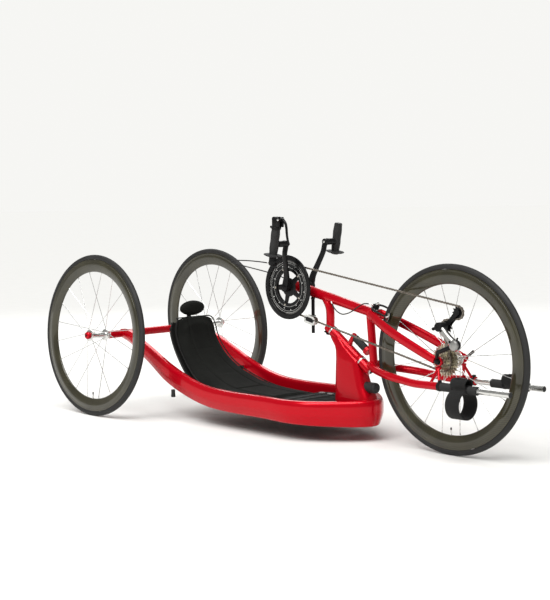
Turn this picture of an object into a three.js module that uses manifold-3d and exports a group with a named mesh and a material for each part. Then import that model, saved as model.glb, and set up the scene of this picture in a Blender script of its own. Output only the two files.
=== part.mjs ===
// A low racing handcycle: a red rail frame with a reclined seat on two cambered rear wheels,
// and a steered front fork that carries the hand cranks, the chain drive and the foot tubes.
// Millimetres. +X is forward, +Y is the rider's left and +Z is up. The origin lies on the
// ground, midway between the rear axle and the front axle.
import * as THREE from 'three';
import { mergeVertices } from 'three/addons/utils/BufferGeometryUtils.js';
import Module from 'manifold-3d';

const wasm = await Module();
wasm.setup();

// Overall layout
const wheelbase = 1626;
const track = 702;
const camber = THREE.MathUtils.degToRad(3);
const headAngle = THREE.MathUtils.degToRad(35.3);
const trail = 10;
const gap = 0.3;
const overrun = 5;

// Wheels
const wheelRadius = 334;
const tyreRadius = 11.5;
const tyreSeatAngle = THREE.MathUtils.degToRad(130);
const rimDepth = 52;
const rimHalfWidth = 9.8;
const rimNoseHalfWidth = 3.5;
const rimBandShare = 0.42;
const rimBulgeShare = 0.62;
const wheelSegments = 48;
const spokeCount = 20;
const spokeRadius = 1.1;
const spokeSweep = THREE.MathUtils.degToRad(26);
const valveRadius = 2.5;
const valveLength = 26;

// Rear hubs, measured outwards from the wheel's middle plane
const rearHubInner = 75;
const rearHubOuter = 28;
const rearFlangeInner = 56;
const rearFlangeOuter = 24;
const rearBarrelRadius = 12;
const rearFlangeRadius = 24;
const flangeHalfThickness = 2;
const rearPinRadius = 6;
const capRadius = 15;
const capLength = 14;

// Front hub and axle
const frontHubHalf = 61;
const frontBarrelRadius = 11;
const frontFlangeRadius = 26;
const frontFlangeLeft = 34;
const frontFlangeRight = 20;
const axleRadius = 5;
const axleNutRadius = 10;
const axleNutLength = 9;
const leverLength = 46;
const leverRadius = 5;
const leverThrow = 14;

// Main frame
const beamRadius = 16;
const railNose = 364;
const railHalfSpan = 205;
const railFloor = 112;
const railDepth = 84;
const railWidth = 34;
const riserBehind = 535;
const riserReach = 209;
const riserHalfWidth = 38;
const riserBase = 88;
const riserHeight = 257;
const headTubeRadius = 17;
const headTubeStart = 502;
const headTubeLength = 186;
const headRingRadius = 20.5;
const headRingLength = 10;
const steererRadius = 12.5;
const bossRadius = 9;
const bossReach = 62;
const footRadius = 9;
const footShareRow = 5;
const footBottom = 97;
const stopRadius = 20;
const stopLength = 42;
const stopHeight = 200;

// Seat
const seatTop = 396;
const seatFloor = 105;
const seatFront = 246;
const seatNose = 442;
const cushionHalfWidth = 168;
const cushionThickness = 34;
const cushionCrown = 7;
const panThickness = 3;
const panHalfWidth = 200;
const panEndShare = 0.7924;
const panRestShare = 0.72;
const backTubeRadius = 8;
const backTubeHalfSpan = 92;
const headPadHalfWidth = 66;
const headPadHalfHeight = 31;
const headPadHalfDepth = 19;
const headPadHeight = 438;
const headPadPlace = 236;
const headPostRadius = 9;
const slingBehind = 22;
const slingNose = 52;
const slingThickness = 12;
const slingCrown = 12;
const slingHeight = 108;

// Fork truss
const bracketBack = 219;
const bracketHeight = 556;
const bracketRadius = 21;
const bracketHalf = 34;
const boomRadius = 20;
const boomFrontRadius = 17;
const crownBehind = 356;
const crownHeight = 474;
const crownRadius = 15;
const crownHalf = 30;
const rearStrutRadius = 16;
const frontStrutRadius = 15;
const collarRadius = 19;
const upperCollarLength = 26;
const lowerCollarLength = 50;
const lowerCrownHalf = 26;
const lowerCrownRadius = 15;
const bladeDepth = 34;
const bladeWidth = 17;
const dropoutOffset = 68;
const dropoutHalfThickness = 3;
const dropoutRadius = 17;
const lowerTubeRadius = 14;
const lowerTubeEnd = 34;
const lowerTubeHeight = 253;
const footTubeOffset = 93;
const trussRadius = 5;
const bumperRadius = 14;
const bumperPlace = 514;
const bumperLength = 66;
const bumperOffset = 52;
const knobRadius = 17;
const knobLength = 16;

// Cranks and chainset
const crankLength = 175;
const crankAngle = THREE.MathUtils.degToRad(75);
const crankArmOffset = 70;
const crankFlare = 34;
const crankWidth = 24;
const crankThickness = 12;
const crankAxleRadius = 9;
const crankBossRadius = 17;
const chainLine = 44.5;
const ringThickness = 3;
const spiderThickness = 3.4;
const spiderArms = 5;
const spiderRadius = 70;
const ringBore = 58;
const chainPitch = 12.7;
const chainHalfDepth = 3.8;
const chainHalfWidth = 3.2;
const rootClearance = 1.2;
const bigTeeth = 54;
const smallTeeth = 44;
const cogTeeth = 18;
const pulleyTeeth = 11;
const toothHeight = 3.4;
const guardRadius = 123;
const guardBore = 104;
const guardThickness = 4.6;
const cassetteBore = 11;
const cassetteRadius = 57;
const cassetteStart = 26;

// Grips and brake lever
const pedalRadius = 7;
const pedalLength = 46;
const gripSleeveRadius = 13;
const gripOffset = 62;
const gripRadius = 17;
const gripAbove = 68;
const gripBelow = 40;
const gripTilt = THREE.MathUtils.degToRad(10);
const gripFlangeRadius = 36;
const gripFlangeThickness = 7;
const shifterRadius = 14;
const shifterLength = 34;
const leverBodyLength = 42;
const leverBodyHalfWidth = 15;
const leverBodyHalfDepth = 20;
const leverReach = 42;
const leverDrop = 92;
const bladeRadius = 6;

// Derailleurs, brake and foot tubes
const guidePulleyPlace = 18;
const guidePulleyRise = 122;
const tensionPulleyPlace = 68;
const tensionPulleyRise = 171;
const cagePlateThickness = 1.6;
const cageHalfGap = 7.5;
const cageHalfHeight = 12;
const cagePinRadius = 3;
const knuckleRadius = 16;
const knuckleLength = 16;
const lowKnuckleRadius = 19;
const lowKnuckleShare = 1.22;
const linkHalfWidth = 13;
const linkCoverDepth = 3;
const bodyRadius = 10;
const postRadius = 6.5;
const postPlace = 82;
const postDrop = 175;
const guideOffset = 113;
const guideDrop = 119;
const guideHalfLength = 29;
const guideHalfHeight = 16;
const guideHalfGap = 7.4;
const caliperBoltRadius = 4;
const caliperArmThickness = 8;
const caliperStandOff = 19;
const caliperReach = 78;
const caliperSpan = 30;
const caliperArmWidth = 9;
const padGap = 2.5;
const padHalfLength = 16;
const padHalfHeight = 5;
const footTubeRadius = 10;
const footTubeInside = 80;
const footTubeLength = 370;
const sleeveRadius = 15;
const sleeveLength = 156;
const loopRadius = 52;
const loopThickness = 5;
const loopWidth = 62;
const toeLoopRadius = 21;
const leftRestPlace = 72;
const cableRadius = 2.2;

// Places that follow from the layout
const rearX = -wheelbase / 2;
const frontX = wheelbase / 2;
const hubHeight = wheelRadius * Math.cos(camber);
const beamHeight = hubHeight - rearHubInner * Math.sin(camber);
const railRise = beamHeight - railFloor;
const rearHubY = track / 2 - wheelRadius * Math.sin(camber);
const frontHub = new THREE.Vector3(frontX, 0, wheelRadius);
const bracket = new THREE.Vector3(frontX - riserBehind - bracketBack, 0, bracketHeight);
const crown = new THREE.Vector3(frontX - crownBehind, 0, crownHeight);
const steerFoot = new THREE.Vector3(frontX - trail, 0, 0);
const steerUp = new THREE.Vector3(-Math.cos(headAngle), 0, Math.sin(headAngle));
const steerOut = new THREE.Vector3(Math.sin(headAngle), 0, Math.cos(headAngle));
const railLength = wheelbase - railNose;
const riserRear = wheelbase - riserBehind;
const seatLength = railLength - seatNose - seatFront;
const panExtra = railLength * panEndShare - seatFront - seatLength;
const slingStart = seatFront + seatLength + slingBehind;
const slingLength = railLength - slingNose - slingStart;
const headTubeTop = headTubeStart + headTubeLength;
const bumperStart = bumperPlace + gap;
const left = new THREE.Vector3(0, 1, 0);
const up = new THREE.Vector3(0, 0, 1);
const forward = new THREE.Vector3(1, 0, 0);

/** Gives a point from the rear axle's x, the middle plane and the ground. */
function at(x, y, z) {
  return new THREE.Vector3(rearX + x, y, z);
}

/** Gives a point on the steering axis, at a length up it from the ground. */
function onSteer(length, offset = 0) {
  return steerFoot.clone().addScaledVector(steerUp, length).addScaledVector(steerOut, offset);
}

// Materials
function paint(color, roughness, metalness) {
  return new THREE.MeshStandardMaterial({ color, roughness, metalness });
}

const red = paint(0xb80014, 0.25, 0.3);
const black = paint(0x161616, 0.45, 0.2);
const rubber = paint(0x1c1c1b, 0.85, 0);
const tyreRubber = paint(0x2e2e2c, 0.9, 0);
const carbon = paint(0x4a473a, 0.3, 0.1);
const silver = paint(0xc9c9c5, 0.3, 0.9);
const steel = paint(0x8f8778, 0.35, 0.9);
const fabric = paint(0x2b2d2a, 0.95, 0);

// Mesh helpers

/** Merges points that coincide and drops the faces that this empties. */
function weld(geometry) {
  const plain = geometry.clone();
  for (const name of ['normal', 'uv']) plain.deleteAttribute(name);
  const merged = mergeVertices(plain, gap / 1e3);
  const index = [];
  for (let i = 0; i < merged.index.count; i += 3) {
    const [a, b, c] = [0, 1, 2].map((k) => merged.index.getX(i + k));
    if (a !== b && b !== c && c !== a) index.push(a, b, c);
  }
  merged.setIndex(index);
  return faceOut(merged);
}

/** Turns every face round if the solid is inside out. */
function faceOut(geometry) {
  const [a, b, c] = [0, 1, 2].map(() => new THREE.Vector3());
  const points = geometry.attributes.position;
  const index = geometry.index;
  let volume = 0;
  for (let i = 0; i < index.count; i += 3) {
    a.fromBufferAttribute(points, index.getX(i));
    b.fromBufferAttribute(points, index.getX(i + 1));
    c.fromBufferAttribute(points, index.getX(i + 2));
    volume += a.dot(b.cross(c));
  }
  if (volume < 0) geometry.setIndex(Array.from(index.array).reverse());
  return geometry;
}

/** Makes a boolean solid from a mesh. */
function solid(geometry) {
  const welded = weld(geometry);
  return new wasm.Manifold(new wasm.Mesh({
    numProp: 3,
    vertProperties: new Float32Array(welded.attributes.position.array),
    triVerts: new Uint32Array(welded.index.array),
  }));
}

/** Makes a mesh from a boolean solid. */
function mesh(body) {
  const result = body.getMesh();
  const geometry = new THREE.BufferGeometry();
  geometry.setAttribute('position', new THREE.Float32BufferAttribute(result.vertProperties, 3));
  geometry.setIndex(Array.from(result.triVerts));
  return geometry;
}

/** Joins meshes into one solid. */
function join(...parts) {
  return mesh(parts.map(solid).reduce((sum, part) => sum.add(part)));
}

/** Cuts the later meshes out of the first. */
function cut(base, ...tools) {
  return mesh(tools.map(solid).reduce((rest, tool) => rest.subtract(tool), solid(base)));
}

/** Skins a row of rings of points; the ends are closed unless the row is a loop. */
function loft(rings, loop = false) {
  const count = rings[0].length;
  const index = [];
  const last = loop ? rings.length : rings.length - 1;
  for (let r = 0; r < last; r += 1) {
    const here = r * count;
    const next = ((r + 1) % rings.length) * count;
    for (let i = 0; i < count; i += 1) {
      const j = (i + 1) % count;
      index.push(here + i, next + i, next + j, here + i, next + j, here + j);
    }
  }
  if (!loop) {
    const end = (rings.length - 1) * count;
    for (let i = 1; i < count - 1; i += 1) {
      index.push(0, i, i + 1, end, end + i + 1, end + i);
    }
  }
  const geometry = new THREE.BufferGeometry();
  const points = rings.flat().flatMap((point) => point.toArray());
  geometry.setAttribute('position', new THREE.Float32BufferAttribute(points, 3));
  geometry.setIndex(index);
  return faceOut(geometry);
}

/** Gives a ring of points round a centre, on two half axes. */
function ring(centre, across, rise, sides) {
  return Array.from({ length: sides }, (_, i) => {
    const angle = (2 * Math.PI * i) / sides;
    return centre.clone()
      .addScaledVector(across, Math.cos(angle))
      .addScaledVector(rise, Math.sin(angle));
  });
}

/** Gives the direction of a row of points at one of them. */
function heading(points, i) {
  const before = points[Math.max(i - 1, 0)];
  const after = points[Math.min(i + 1, points.length - 1)];
  return after.clone().sub(before).normalize();
}

/** Makes a tube along points that lie near an upright plane; its radius may change evenly. */
function tube(points, radius, options = {}) {
  const { sides = 12, steps = 0, endRadius = radius, flatten = 1 } = options;
  const path = steps ? new THREE.CatmullRomCurve3(points).getPoints(steps) : points;
  return loft(path.map((point, i) => {
    const size = THREE.MathUtils.lerp(radius, endRadius, i / (path.length - 1));
    const along = heading(path, i);
    const rise = left.clone().cross(along).normalize();
    const across = along.clone().cross(rise).multiplyScalar(size * flatten);
    return ring(point, across, rise.multiplyScalar(size), sides);
  }));
}

/** Makes a round bar between two points. */
function bar(from, to, radius, sides = 12) {
  const along = to.clone().sub(from);
  const geometry = new THREE.CylinderGeometry(radius, radius, along.length(), sides);
  const turn = new THREE.Quaternion().setFromUnitVectors(left, along.clone().normalize());
  geometry.applyQuaternion(turn);
  const middle = from.clone().lerp(to, 0.5);
  return geometry.translate(middle.x, middle.y, middle.z);
}

/** Turns a profile of [radius, place] pairs about an axis through a centre. */
function turned(profile, centre, axis, segments) {
  const points = profile.map(([radius, place]) => new THREE.Vector2(radius, place));
  const geometry = new THREE.LatheGeometry(points, segments);
  geometry.applyQuaternion(new THREE.Quaternion().setFromUnitVectors(left, axis));
  return geometry.translate(centre.x, centre.y, centre.z);
}

/** Makes a block from its middle, its half sizes and its first two directions. */
function block(centre, along, alongHalf, across, acrossHalf, thickHalf) {
  const thick = along.clone().cross(across).normalize();
  const corners = [[-1, -1], [1, -1], [1, 1], [-1, 1]];
  return loft([-1, 1].map((end) => corners.map(([a, b]) => centre.clone()
    .addScaledVector(along, a * alongHalf)
    .addScaledVector(across, b * acrossHalf)
    .addScaledVector(thick, end * thickHalf))));
}

const group = new THREE.Group();

/** Adds one named piece to the handcycle. */
function piece(name, geometry, material) {
  const part = new THREE.Mesh(weld(geometry), material);
  part.name = name;
  group.add(part);
  return part;
}

// Wheels

const rimTop = wheelRadius - tyreRadius + tyreRadius * Math.cos(tyreSeatAngle) - gap;
const rimNose = rimTop - rimDepth;

/** Makes a tubular tyre that sits on a flat rim bed. */
function tyreShape(centre, axis) {
  const steps = 6;
  const profile = Array.from({ length: steps + 1 }, (_, i) => {
    const angle = THREE.MathUtils.lerp(-tyreSeatAngle, tyreSeatAngle, i / steps);
    const radius = wheelRadius - tyreRadius + tyreRadius * Math.cos(angle);
    return [radius, tyreRadius * Math.sin(angle)];
  });
  return turned([...profile, profile[0]], centre, axis, wheelSegments);
}

/** Makes a deep rim with its valve, which points down. */
function rimShape(centre, axis) {
  const half = [
    [rimTop, rimHalfWidth],
    [rimTop - rimDepth * rimBandShare, rimHalfWidth],
    [rimNose, rimNoseHalfWidth],
  ];
  const mirrored = half.map(([radius, place]) => [radius, -place]).reverse();
  const profile = [...half, ...mirrored, half[0]];
  const out = up.clone().addScaledVector(axis, -up.dot(axis)).normalize().negate();
  const valveStart = centre.clone().addScaledVector(out, rimNose + overrun);
  const valveEnd = centre.clone().addScaledVector(out, rimNose - valveLength);
  const valve = bar(valveStart, valveEnd, valveRadius, 8);
  return join(turned(profile, centre, axis, wheelSegments), valve);
}

/** Makes a hub with its flanges and spokes; flanges are [place, radius] along the axis. */
function hubShape(centre, axis, profile, flanges, boreRadius) {
  const hub = turned(profile, centre, axis, 14);
  const side = up.clone().cross(axis).normalize();
  const rise = axis.clone().cross(side).normalize();
  const spokes = Array.from({ length: spokeCount }, (_, i) => {
    const [place, radius] = flanges[i % 2];
    const turn = (2 * Math.PI * (i + 0.5)) / spokeCount;
    const sweep = turn + (i % 4 < 2 ? spokeSweep : -spokeSweep);
    const root = radius - flangeHalfThickness * 2;
    const from = centre.clone().addScaledVector(axis, place)
      .addScaledVector(side, root * Math.cos(sweep)).addScaledVector(rise, root * Math.sin(sweep));
    const reach = rimNose * Math.cos(Math.PI / wheelSegments) - gap * 1.5;
    const to = centre.clone()
      .addScaledVector(side, reach * Math.cos(turn)).addScaledVector(rise, reach * Math.sin(turn));
    return bar(from, to, spokeRadius, 3);
  });
  const bore = bar(
    centre.clone().addScaledVector(axis, -wheelRadius),
    centre.clone().addScaledVector(axis, wheelRadius),
    boreRadius,
    12,
  );
  return cut(join(hub, ...spokes), bore);
}

/** Gives the profile of a hub barrel with two flanges between two ends. */
function hubProfile(start, end, barrel, flanges) {
  const profile = [[0, start], [barrel, start]];
  for (const [place, radius] of flanges) {
    profile.push([barrel, place - flangeHalfThickness], [radius, place - flangeHalfThickness]);
    profile.push([radius, place + flangeHalfThickness], [barrel, place + flangeHalfThickness]);
  }
  profile.push([barrel, end], [0, end]);
  return profile;
}

/** Gives a rear wheel's middle and its outward axis. */
function rearAxis(side) {
  return {
    centre: new THREE.Vector3(rearX, side * rearHubY, hubHeight),
    axis: new THREE.Vector3(0, side * Math.cos(camber), Math.sin(camber)),
  };
}

/** Builds a rear wheel. */
function rearWheel(side, suffix) {
  const { centre, axis } = rearAxis(side);
  const flanges = [[-rearFlangeInner, rearFlangeRadius], [rearFlangeOuter, rearFlangeRadius]];
  const profile = hubProfile(-rearHubInner, rearHubOuter, rearBarrelRadius, flanges);
  piece(`tyre_${suffix}`, tyreShape(centre, axis), tyreRubber);
  piece(`rim_${suffix}`, rimShape(centre, axis), carbon);
  const hub = hubShape(centre, axis, profile, flanges, rearPinRadius + gap);
  piece(`hub_spokes_${suffix}`, hub, silver);
  const capStart = rearHubOuter + gap;
  const cap = [
    [0, capStart], [capRadius, capStart], [capRadius, capStart + capLength * rimBulgeShare],
    [capRadius * rimBulgeShare, capStart + capLength], [0, capStart + capLength],
  ];
  piece(`hub_cap_${suffix}`, turned(cap, centre, axis, 20), red);
}

/** Builds the front wheel, whose right side carries the cogs. */
function frontWheel() {
  const flanges = [[-frontFlangeRight, frontFlangeRadius], [frontFlangeLeft, frontFlangeRadius]];
  const profile = hubProfile(-frontHubHalf, frontHubHalf, frontBarrelRadius, flanges);
  piece('tyre_front', tyreShape(frontHub, left), tyreRubber);
  piece('rim_front', rimShape(frontHub, left), carbon);
  const hub = hubShape(frontHub, left, profile, flanges, axleRadius + gap);
  piece('hub_spokes_front', hub, silver);
}

/** Builds the stepped pack of cogs, largest next to the wheel. */
function cassette() {
  const chainTop = pitchRadius(cogTeeth) - chainHalfDepth - rootClearance;
  const stepShares = [1, 0.92, 0.84, 0.76];
  const smallShares = [0.84, 0.7];
  const inner = chainLine - chainHalfWidth - gap;
  const outer = chainLine + chainHalfWidth + gap;
  const step = (inner - cassetteStart) / stepShares.length;
  const bore = cassetteBore + gap;
  const profile = [[bore, -cassetteStart]];
  stepShares.forEach((share, i) => {
    const radius = cassetteRadius * share;
    profile.push([radius, -cassetteStart - step * i], [radius, -cassetteStart - step * (i + 1)]);
  });
  profile.push([chainTop, -inner], [chainTop, -outer]);
  const smallStep = (frontHubHalf - outer) / smallShares.length;
  smallShares.forEach((share, i) => {
    const radius = chainTop * share;
    profile.push([radius, -outer - smallStep * i], [radius, -outer - smallStep * (i + 1)]);
  });
  profile.push([bore, -frontHubHalf], profile[0]);
  piece('cassette', turned(profile, frontHub, left, 20), steel);
}

/** Gives the pitch radius of a sprocket. */
function pitchRadius(teeth) {
  return chainPitch / 2 / Math.sin(Math.PI / teeth);
}

// Main frame

const railShares = [
  [0, 0.9, 1, 0.46], [0.05, 0.93, 0.945, 0.62], [0.105, 0.96, 0.8, 0.74], [0.165, 0.985, 0.64, 0.84],
  [0.23, 1, 0.44, 1], [0.28, 1, 0.31, 1.01], [0.335, 1, 0.195, 0.99], [0.385, 1, 0.11, 0.97],
  [0.43, 1, 0.055, 0.96], [0.48, 1, 0.02, 0.97], [0.57, 1, 0, 0.98], [0.7, 1, 0, 1],
  [0.79, 0.99, -0.012, 1.03], [0.85, 0.905, -0.016, 1.06], [0.9, 0.73, -0.02, 1.1],
  [0.945, 0.5, -0.022, 1.14], [0.972, 0.335, -0.023, 1.16], [0.991, 0.18, -0.023, 1.17],
  [1, 0.07, -0.023, 1.17], [1, 0.0008, -0.023, 1.17],
];
const railSectionShares = [
  [-0.5, 0.4], [-0.36, 0.5], [0.3, 0.5], [0.5, 0.36], [0.5, -0.06], [0.12, -0.5], [-0.3, -0.5],
  [-0.5, -0.38],
];

/** Gives a side rail's rings, grown by a clearance. */
function railShape(side, grow = 0) {
  const path = railShares.map(([x, y, z]) => (
    at(x * railLength, side * y * railHalfSpan, railFloor + z * railRise)));
  return loft(path.map((point, i) => {
    const along = heading(path, i).setZ(0).normalize();
    const out = along.cross(up).multiplyScalar(-side).normalize();
    const depth = railDepth * railShares[i][3] + grow * 2;
    return railSectionShares.map(([across, rise]) => point.clone()
      .addScaledVector(out, across * (railWidth + grow * 2))
      .addScaledVector(up, rise * depth));
  }));
}

const riserShares = [
  [0, 0.3, 0.8, 0.9], [0.1, 0.06, 0.82, 1], [0.22, 0, 0.808, 1], [0.3, 0, 0.782, 0.95],
  [0.44, 0, 0.68, 0.9], [0.63, 0, 0.595, 0.82], [0.82, 0, 0.519, 0.74], [0.94, -0.01, 0.31, 0.66],
  [1, -0.04, 0.208, 0.6], [1.12, -0.16, 0.05, 0.5],
];

/** Makes the box riser between the rails and the head tube, grown by a clearance. */
function riserShape(grow = 0) {
  const cornerShares = [
    [-1, -0.7], [-0.7, -1], [0.7, -1], [1, -0.7], [1, 0.7], [0.7, 1], [-0.7, 1], [-1, 0.7],
  ];
  return loft(riserShares.map(([height, rear, front, width]) => {
    const x0 = riserRear + riserReach * rear - grow;
    const x1 = riserRear + riserReach * front + grow;
    const half = riserHalfWidth * width + grow;
    const z = riserBase + riserHeight * height + grow * (height * 2 - 1);
    return cornerShares.map(([u, v]) => at(
      (x0 + x1) / 2 + (u * (x1 - x0)) / 2, v * half, z));
  }));
}

/** Makes the head tube's outside, with its two bearing rings. */
function headTubeShape(grow = 0) {
  const outer = headTubeRadius + grow;
  const ringOuter = headRingRadius + grow;
  const start = headTubeStart - grow;
  const end = headTubeTop + grow;
  const ringLength = headRingLength + grow * 2;
  return turned([
    [0, start], [ringOuter, start], [ringOuter, start + ringLength],
    [outer, start + ringLength + gap * 5], [outer, end - ringLength - gap * 5],
    [ringOuter, end - ringLength], [ringOuter, end], [0, end],
  ], steerFoot, steerUp, 20);
}


/** Makes the rear axle tube with a cambered pin at each end. */
function axleBeamShape() {
  const half = rearHubY - rearHubInner * Math.cos(camber) - rearBarrelRadius * Math.sin(camber) - gap;
  const parts = [bar(
    new THREE.Vector3(rearX, -half, beamHeight),
    new THREE.Vector3(rearX, half, beamHeight),
    beamRadius,
    20,
  )];
  for (const side of [-1, 1]) {
    const { centre, axis } = rearAxis(side);
    const from = centre.clone().addScaledVector(axis, -rearHubInner - beamRadius);
    const to = centre.clone().addScaledVector(axis, rearHubOuter - gap);
    parts.push(bar(from, to, rearPinRadius, 12));
  }
  return join(...parts);
}

/** Builds the welded frame. */
function mainFrame() {
  const footPlace = railShares[footShareRow][0] * railLength;
  const beamCut = bar(
    new THREE.Vector3(rearX, -track, beamHeight),
    new THREE.Vector3(rearX, track, beamHeight),
    beamRadius + gap,
    20,
  );
  piece('axle_beam', axleBeamShape(), red);
  for (const [side, suffix] of [[-1, 'right'], [1, 'left']]) {
    piece(`rail_${suffix}`, cut(railShape(side), beamCut, riserShape(gap)), red);
    const foot = bar(
      at(footPlace, side * railHalfSpan, railFloor),
      at(footPlace, side * railHalfSpan, footBottom),
      footRadius,
    );
    const footSolid = join(foot, bar(
      at(footPlace, side * railHalfSpan, railFloor),
      at(footPlace, side * railHalfSpan, railFloor + railDepth / 2),
      footRadius,
    ));
    piece(`rail_foot_${suffix}`, cut(footSolid, railShape(side, gap)), rubber);
  }
  const collarSweep = bar(
    onSteer(headTubeStart), onSteer(lowerCollarStart - lowerCollarLength), collarRadius + gap * 8, 20);
  piece('riser', cut(riserShape(), headTubeShape(gap), collarSweep), red);
  const bossPlace = bumperStart + bumperLength + bossRadius + gap * 5;
  const boss = bar(onSteer(bossPlace), onSteer(bossPlace, bossReach), bossRadius, 10);
  const steerBore = bar(
    onSteer(headTubeStart - overrun), onSteer(headTubeTop + overrun), steererRadius + gap, 20);
  piece('head_tube', cut(join(headTubeShape(), boss), steerBore), red);
  const stopBase = at(riserRear, 0, stopHeight);
  const stopTip = at(riserRear + riserReach * riserShares[4][2] + stopLength + overrun, 0, stopHeight);
  const stopShank = stopTip.clone().addScaledVector(forward, -stopRadius / 2);
  const stop = join(
    bar(stopBase, stopShank, stopRadius),
    turned([[0, 0], [stopRadius, 0], [stopRadius * rimBulgeShare, stopRadius / 2], [0, stopRadius / 2]],
      stopShank, forward, 16),
  );
  piece('riser_stop', cut(stop, riserShape(gap), behindRiser()), rubber);
}

/** Makes a block that takes away what lies inside and behind the riser. */
function behindRiser() {
  const middle = at(riserRear, 0, stopHeight);
  return block(middle, forward, riserReach / 2, left, riserHalfWidth * 2, riserHalfWidth * 2);
}

// Seat

const seatShares = [
  [-0.012, 1, 0.46], [0, 0.969, 0.59], [0.008, 0.877, 0.65], [0.022, 0.755, 0.67], [0.06, 0.606, 0.69],
  [0.122, 0.455, 0.72], [0.192, 0.335, 0.77], [0.272, 0.235, 0.84], [0.38, 0.14, 0.92], [0.494, 0.068, 0.98],
  [0.617, 0.026, 1], [0.79, 0.007, 1], [0.94, 0, 0.97], [1, 0, 0.9],
];

/** Gives the seat's middle line with its widths, with a stretch added at the front. */
function seatLine(extra = 0) {
  const stations = seatShares.map(([x, z, width]) => ({
    point: at(seatFront + x * seatLength, 0, seatFloor + z * (seatTop - seatFloor)),
    width,
  }));
  if (extra) {
    stations.pop();
    stations.push({ point: at(seatFront + seatLength + extra, 0, seatFloor), width: 1 });
  }
  return stations;
}

/** Gives the direction square to the seat's surface, up and forward, at a station. */
function seatNormal(stations, i) {
  const along = heading(stations.map((station) => station.point), i);
  return new THREE.Vector3(-along.z, 0, along.x);
}

/** Builds the cushion, the pan below it and the tubes behind it. */
function seat() {
  const stations = seatLine();
  const across = [-1, -0.86, -0.45, 0, 0.45, 0.86, 1];
  const riseShares = [0, 0.42, 0.5, 0.5, 0.5, 0.42, 0];
  const crownShares = [0, 0.2, 0.8, 1, 0.8, 0.2, 0];
  const cushion = loft(stations.map(({ point, width }, i) => {
    const normal = seatNormal(stations, i);
    const half = cushionHalfWidth * width;
    const taper = i === 0 || i === stations.length - 1 ? 0.55 : 1;
    const top = across.map((share, k) => point.clone().addScaledVector(left, share * half)
      .addScaledVector(normal, taper * (riseShares[k] * cushionThickness + crownShares[k] * cushionCrown)));
    const under = across.slice(1, -1).reverse().map((share, k) => point.clone()
      .addScaledVector(left, share * half)
      .addScaledVector(normal, -taper * riseShares[k + 1] * cushionThickness));
    return [...top, ...under];
  }));
  piece('seat_cushion', cushion, fabric);

  const drop = cushionThickness / 2 + gap;
  const panStations = seatLine(panExtra).slice(1);
  const pan = loft(panStations.map(({ point, width }, i) => {
    const normal = seatNormal(panStations, i);
    const half = Math.min(cushionHalfWidth * width * 1.02, panHalfWidth);
    return [[-1, 0], [1, 0], [1, 1], [-1, 1]].map(([side, level]) => point.clone()
      .addScaledVector(left, side * half)
      .addScaledVector(normal, -drop - level * panThickness));
  }));
  const rests = [-1, 1].map((side) => panRail(side, drop));
  const panSolid = join(pan, ...rests);
  piece('seat_pan', cut(panSolid, railShape(-1, gap), railShape(1, gap)), black);

  const behind = drop + panThickness + gap * 6 + backTubeRadius;
  const tubeStations = stations.slice(1, 8);
  const backLine = tubeStations.map(({ point }, i) => point.clone()
    .addScaledVector(seatNormal(tubeStations, i), -behind));
  const tubes = [-1, 1].map((side) => {
    const points = backLine.map((point) => point.clone().addScaledVector(left, side * backTubeHalfSpan));
    return tube(points, backTubeRadius, { sides: 8 });
  });
  const low = backLine[backLine.length - 2];
  const high = backLine[1];
  const lowBar = bar(
    low.clone().setY(-railHalfSpan), low.clone().setY(railHalfSpan), backTubeRadius, 10);
  const highBar = bar(
    high.clone().setY(-backTubeHalfSpan), high.clone().setY(backTubeHalfSpan), backTubeRadius, 10);
  const padPoint = at(headPadPlace, 0, headPadHeight);
  const postTop = padPoint.clone().addScaledVector(forward, -headPadHalfDepth - headPostRadius);
  const post = bar(high, postTop, headPostRadius, 10);
  const carrier = bar(postTop, padPoint, headPostRadius, 10);
  const padCut = headPadShape(gap);
  const frame = join(...tubes, lowBar, highBar, post, carrier);
  piece('backrest_frame', cut(frame, padCut, railShape(-1, gap), railShape(1, gap)), black);
  piece('headrest_pad', headPadShape(), fabric);
}

/** Makes a flat strip that carries the pan on one rail. */
function panRail(side, drop) {
  const start = seatLength * panRestShare;
  const from = at(seatFront + start, side * (railHalfSpan + cushionHalfWidth) / 2, seatFloor);
  const to = from.clone().addScaledVector(forward, seatLength - start + panExtra);
  const middle = from.clone().lerp(to, 0.5).addScaledVector(up, -drop - panThickness / 2);
  const half = (railHalfSpan - cushionHalfWidth) / 2 + overrun;
  return block(middle, forward, from.distanceTo(to) / 2, left, half, panThickness / 2);
}

/** Makes the rounded head pad, grown by a clearance. */
function headPadShape(grow = 0) {
  const centre = at(headPadPlace, 0, headPadHeight);
  const bands = 7;
  const rings = Array.from({ length: bands }, (_, i) => {
    const angle = THREE.MathUtils.lerp(-1, 1, i / (bands - 1)) * Math.PI * 0.44;
    const scale = Math.cos(angle) ** 0.5;
    const place = centre.clone().addScaledVector(forward, (headPadHalfDepth + grow) * Math.sin(angle));
    return ring(place,
      left.clone().multiplyScalar((headPadHalfWidth + grow) * scale),
      up.clone().multiplyScalar((headPadHalfHeight + grow) * scale), 16);
  });
  return loft(rings);
}

/** Gives the rails' half span at a place along them. */
function railHalfAt(place) {
  const share = place / railLength;
  const next = railShares.findIndex(([x]) => x >= share);
  const [x1, y1] = railShares[next];
  const [x0, y0] = railShares[Math.max(next - 1, 0)];
  return railHalfSpan * THREE.MathUtils.mapLinear(share, x0, x1, y0, y1);
}

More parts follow.
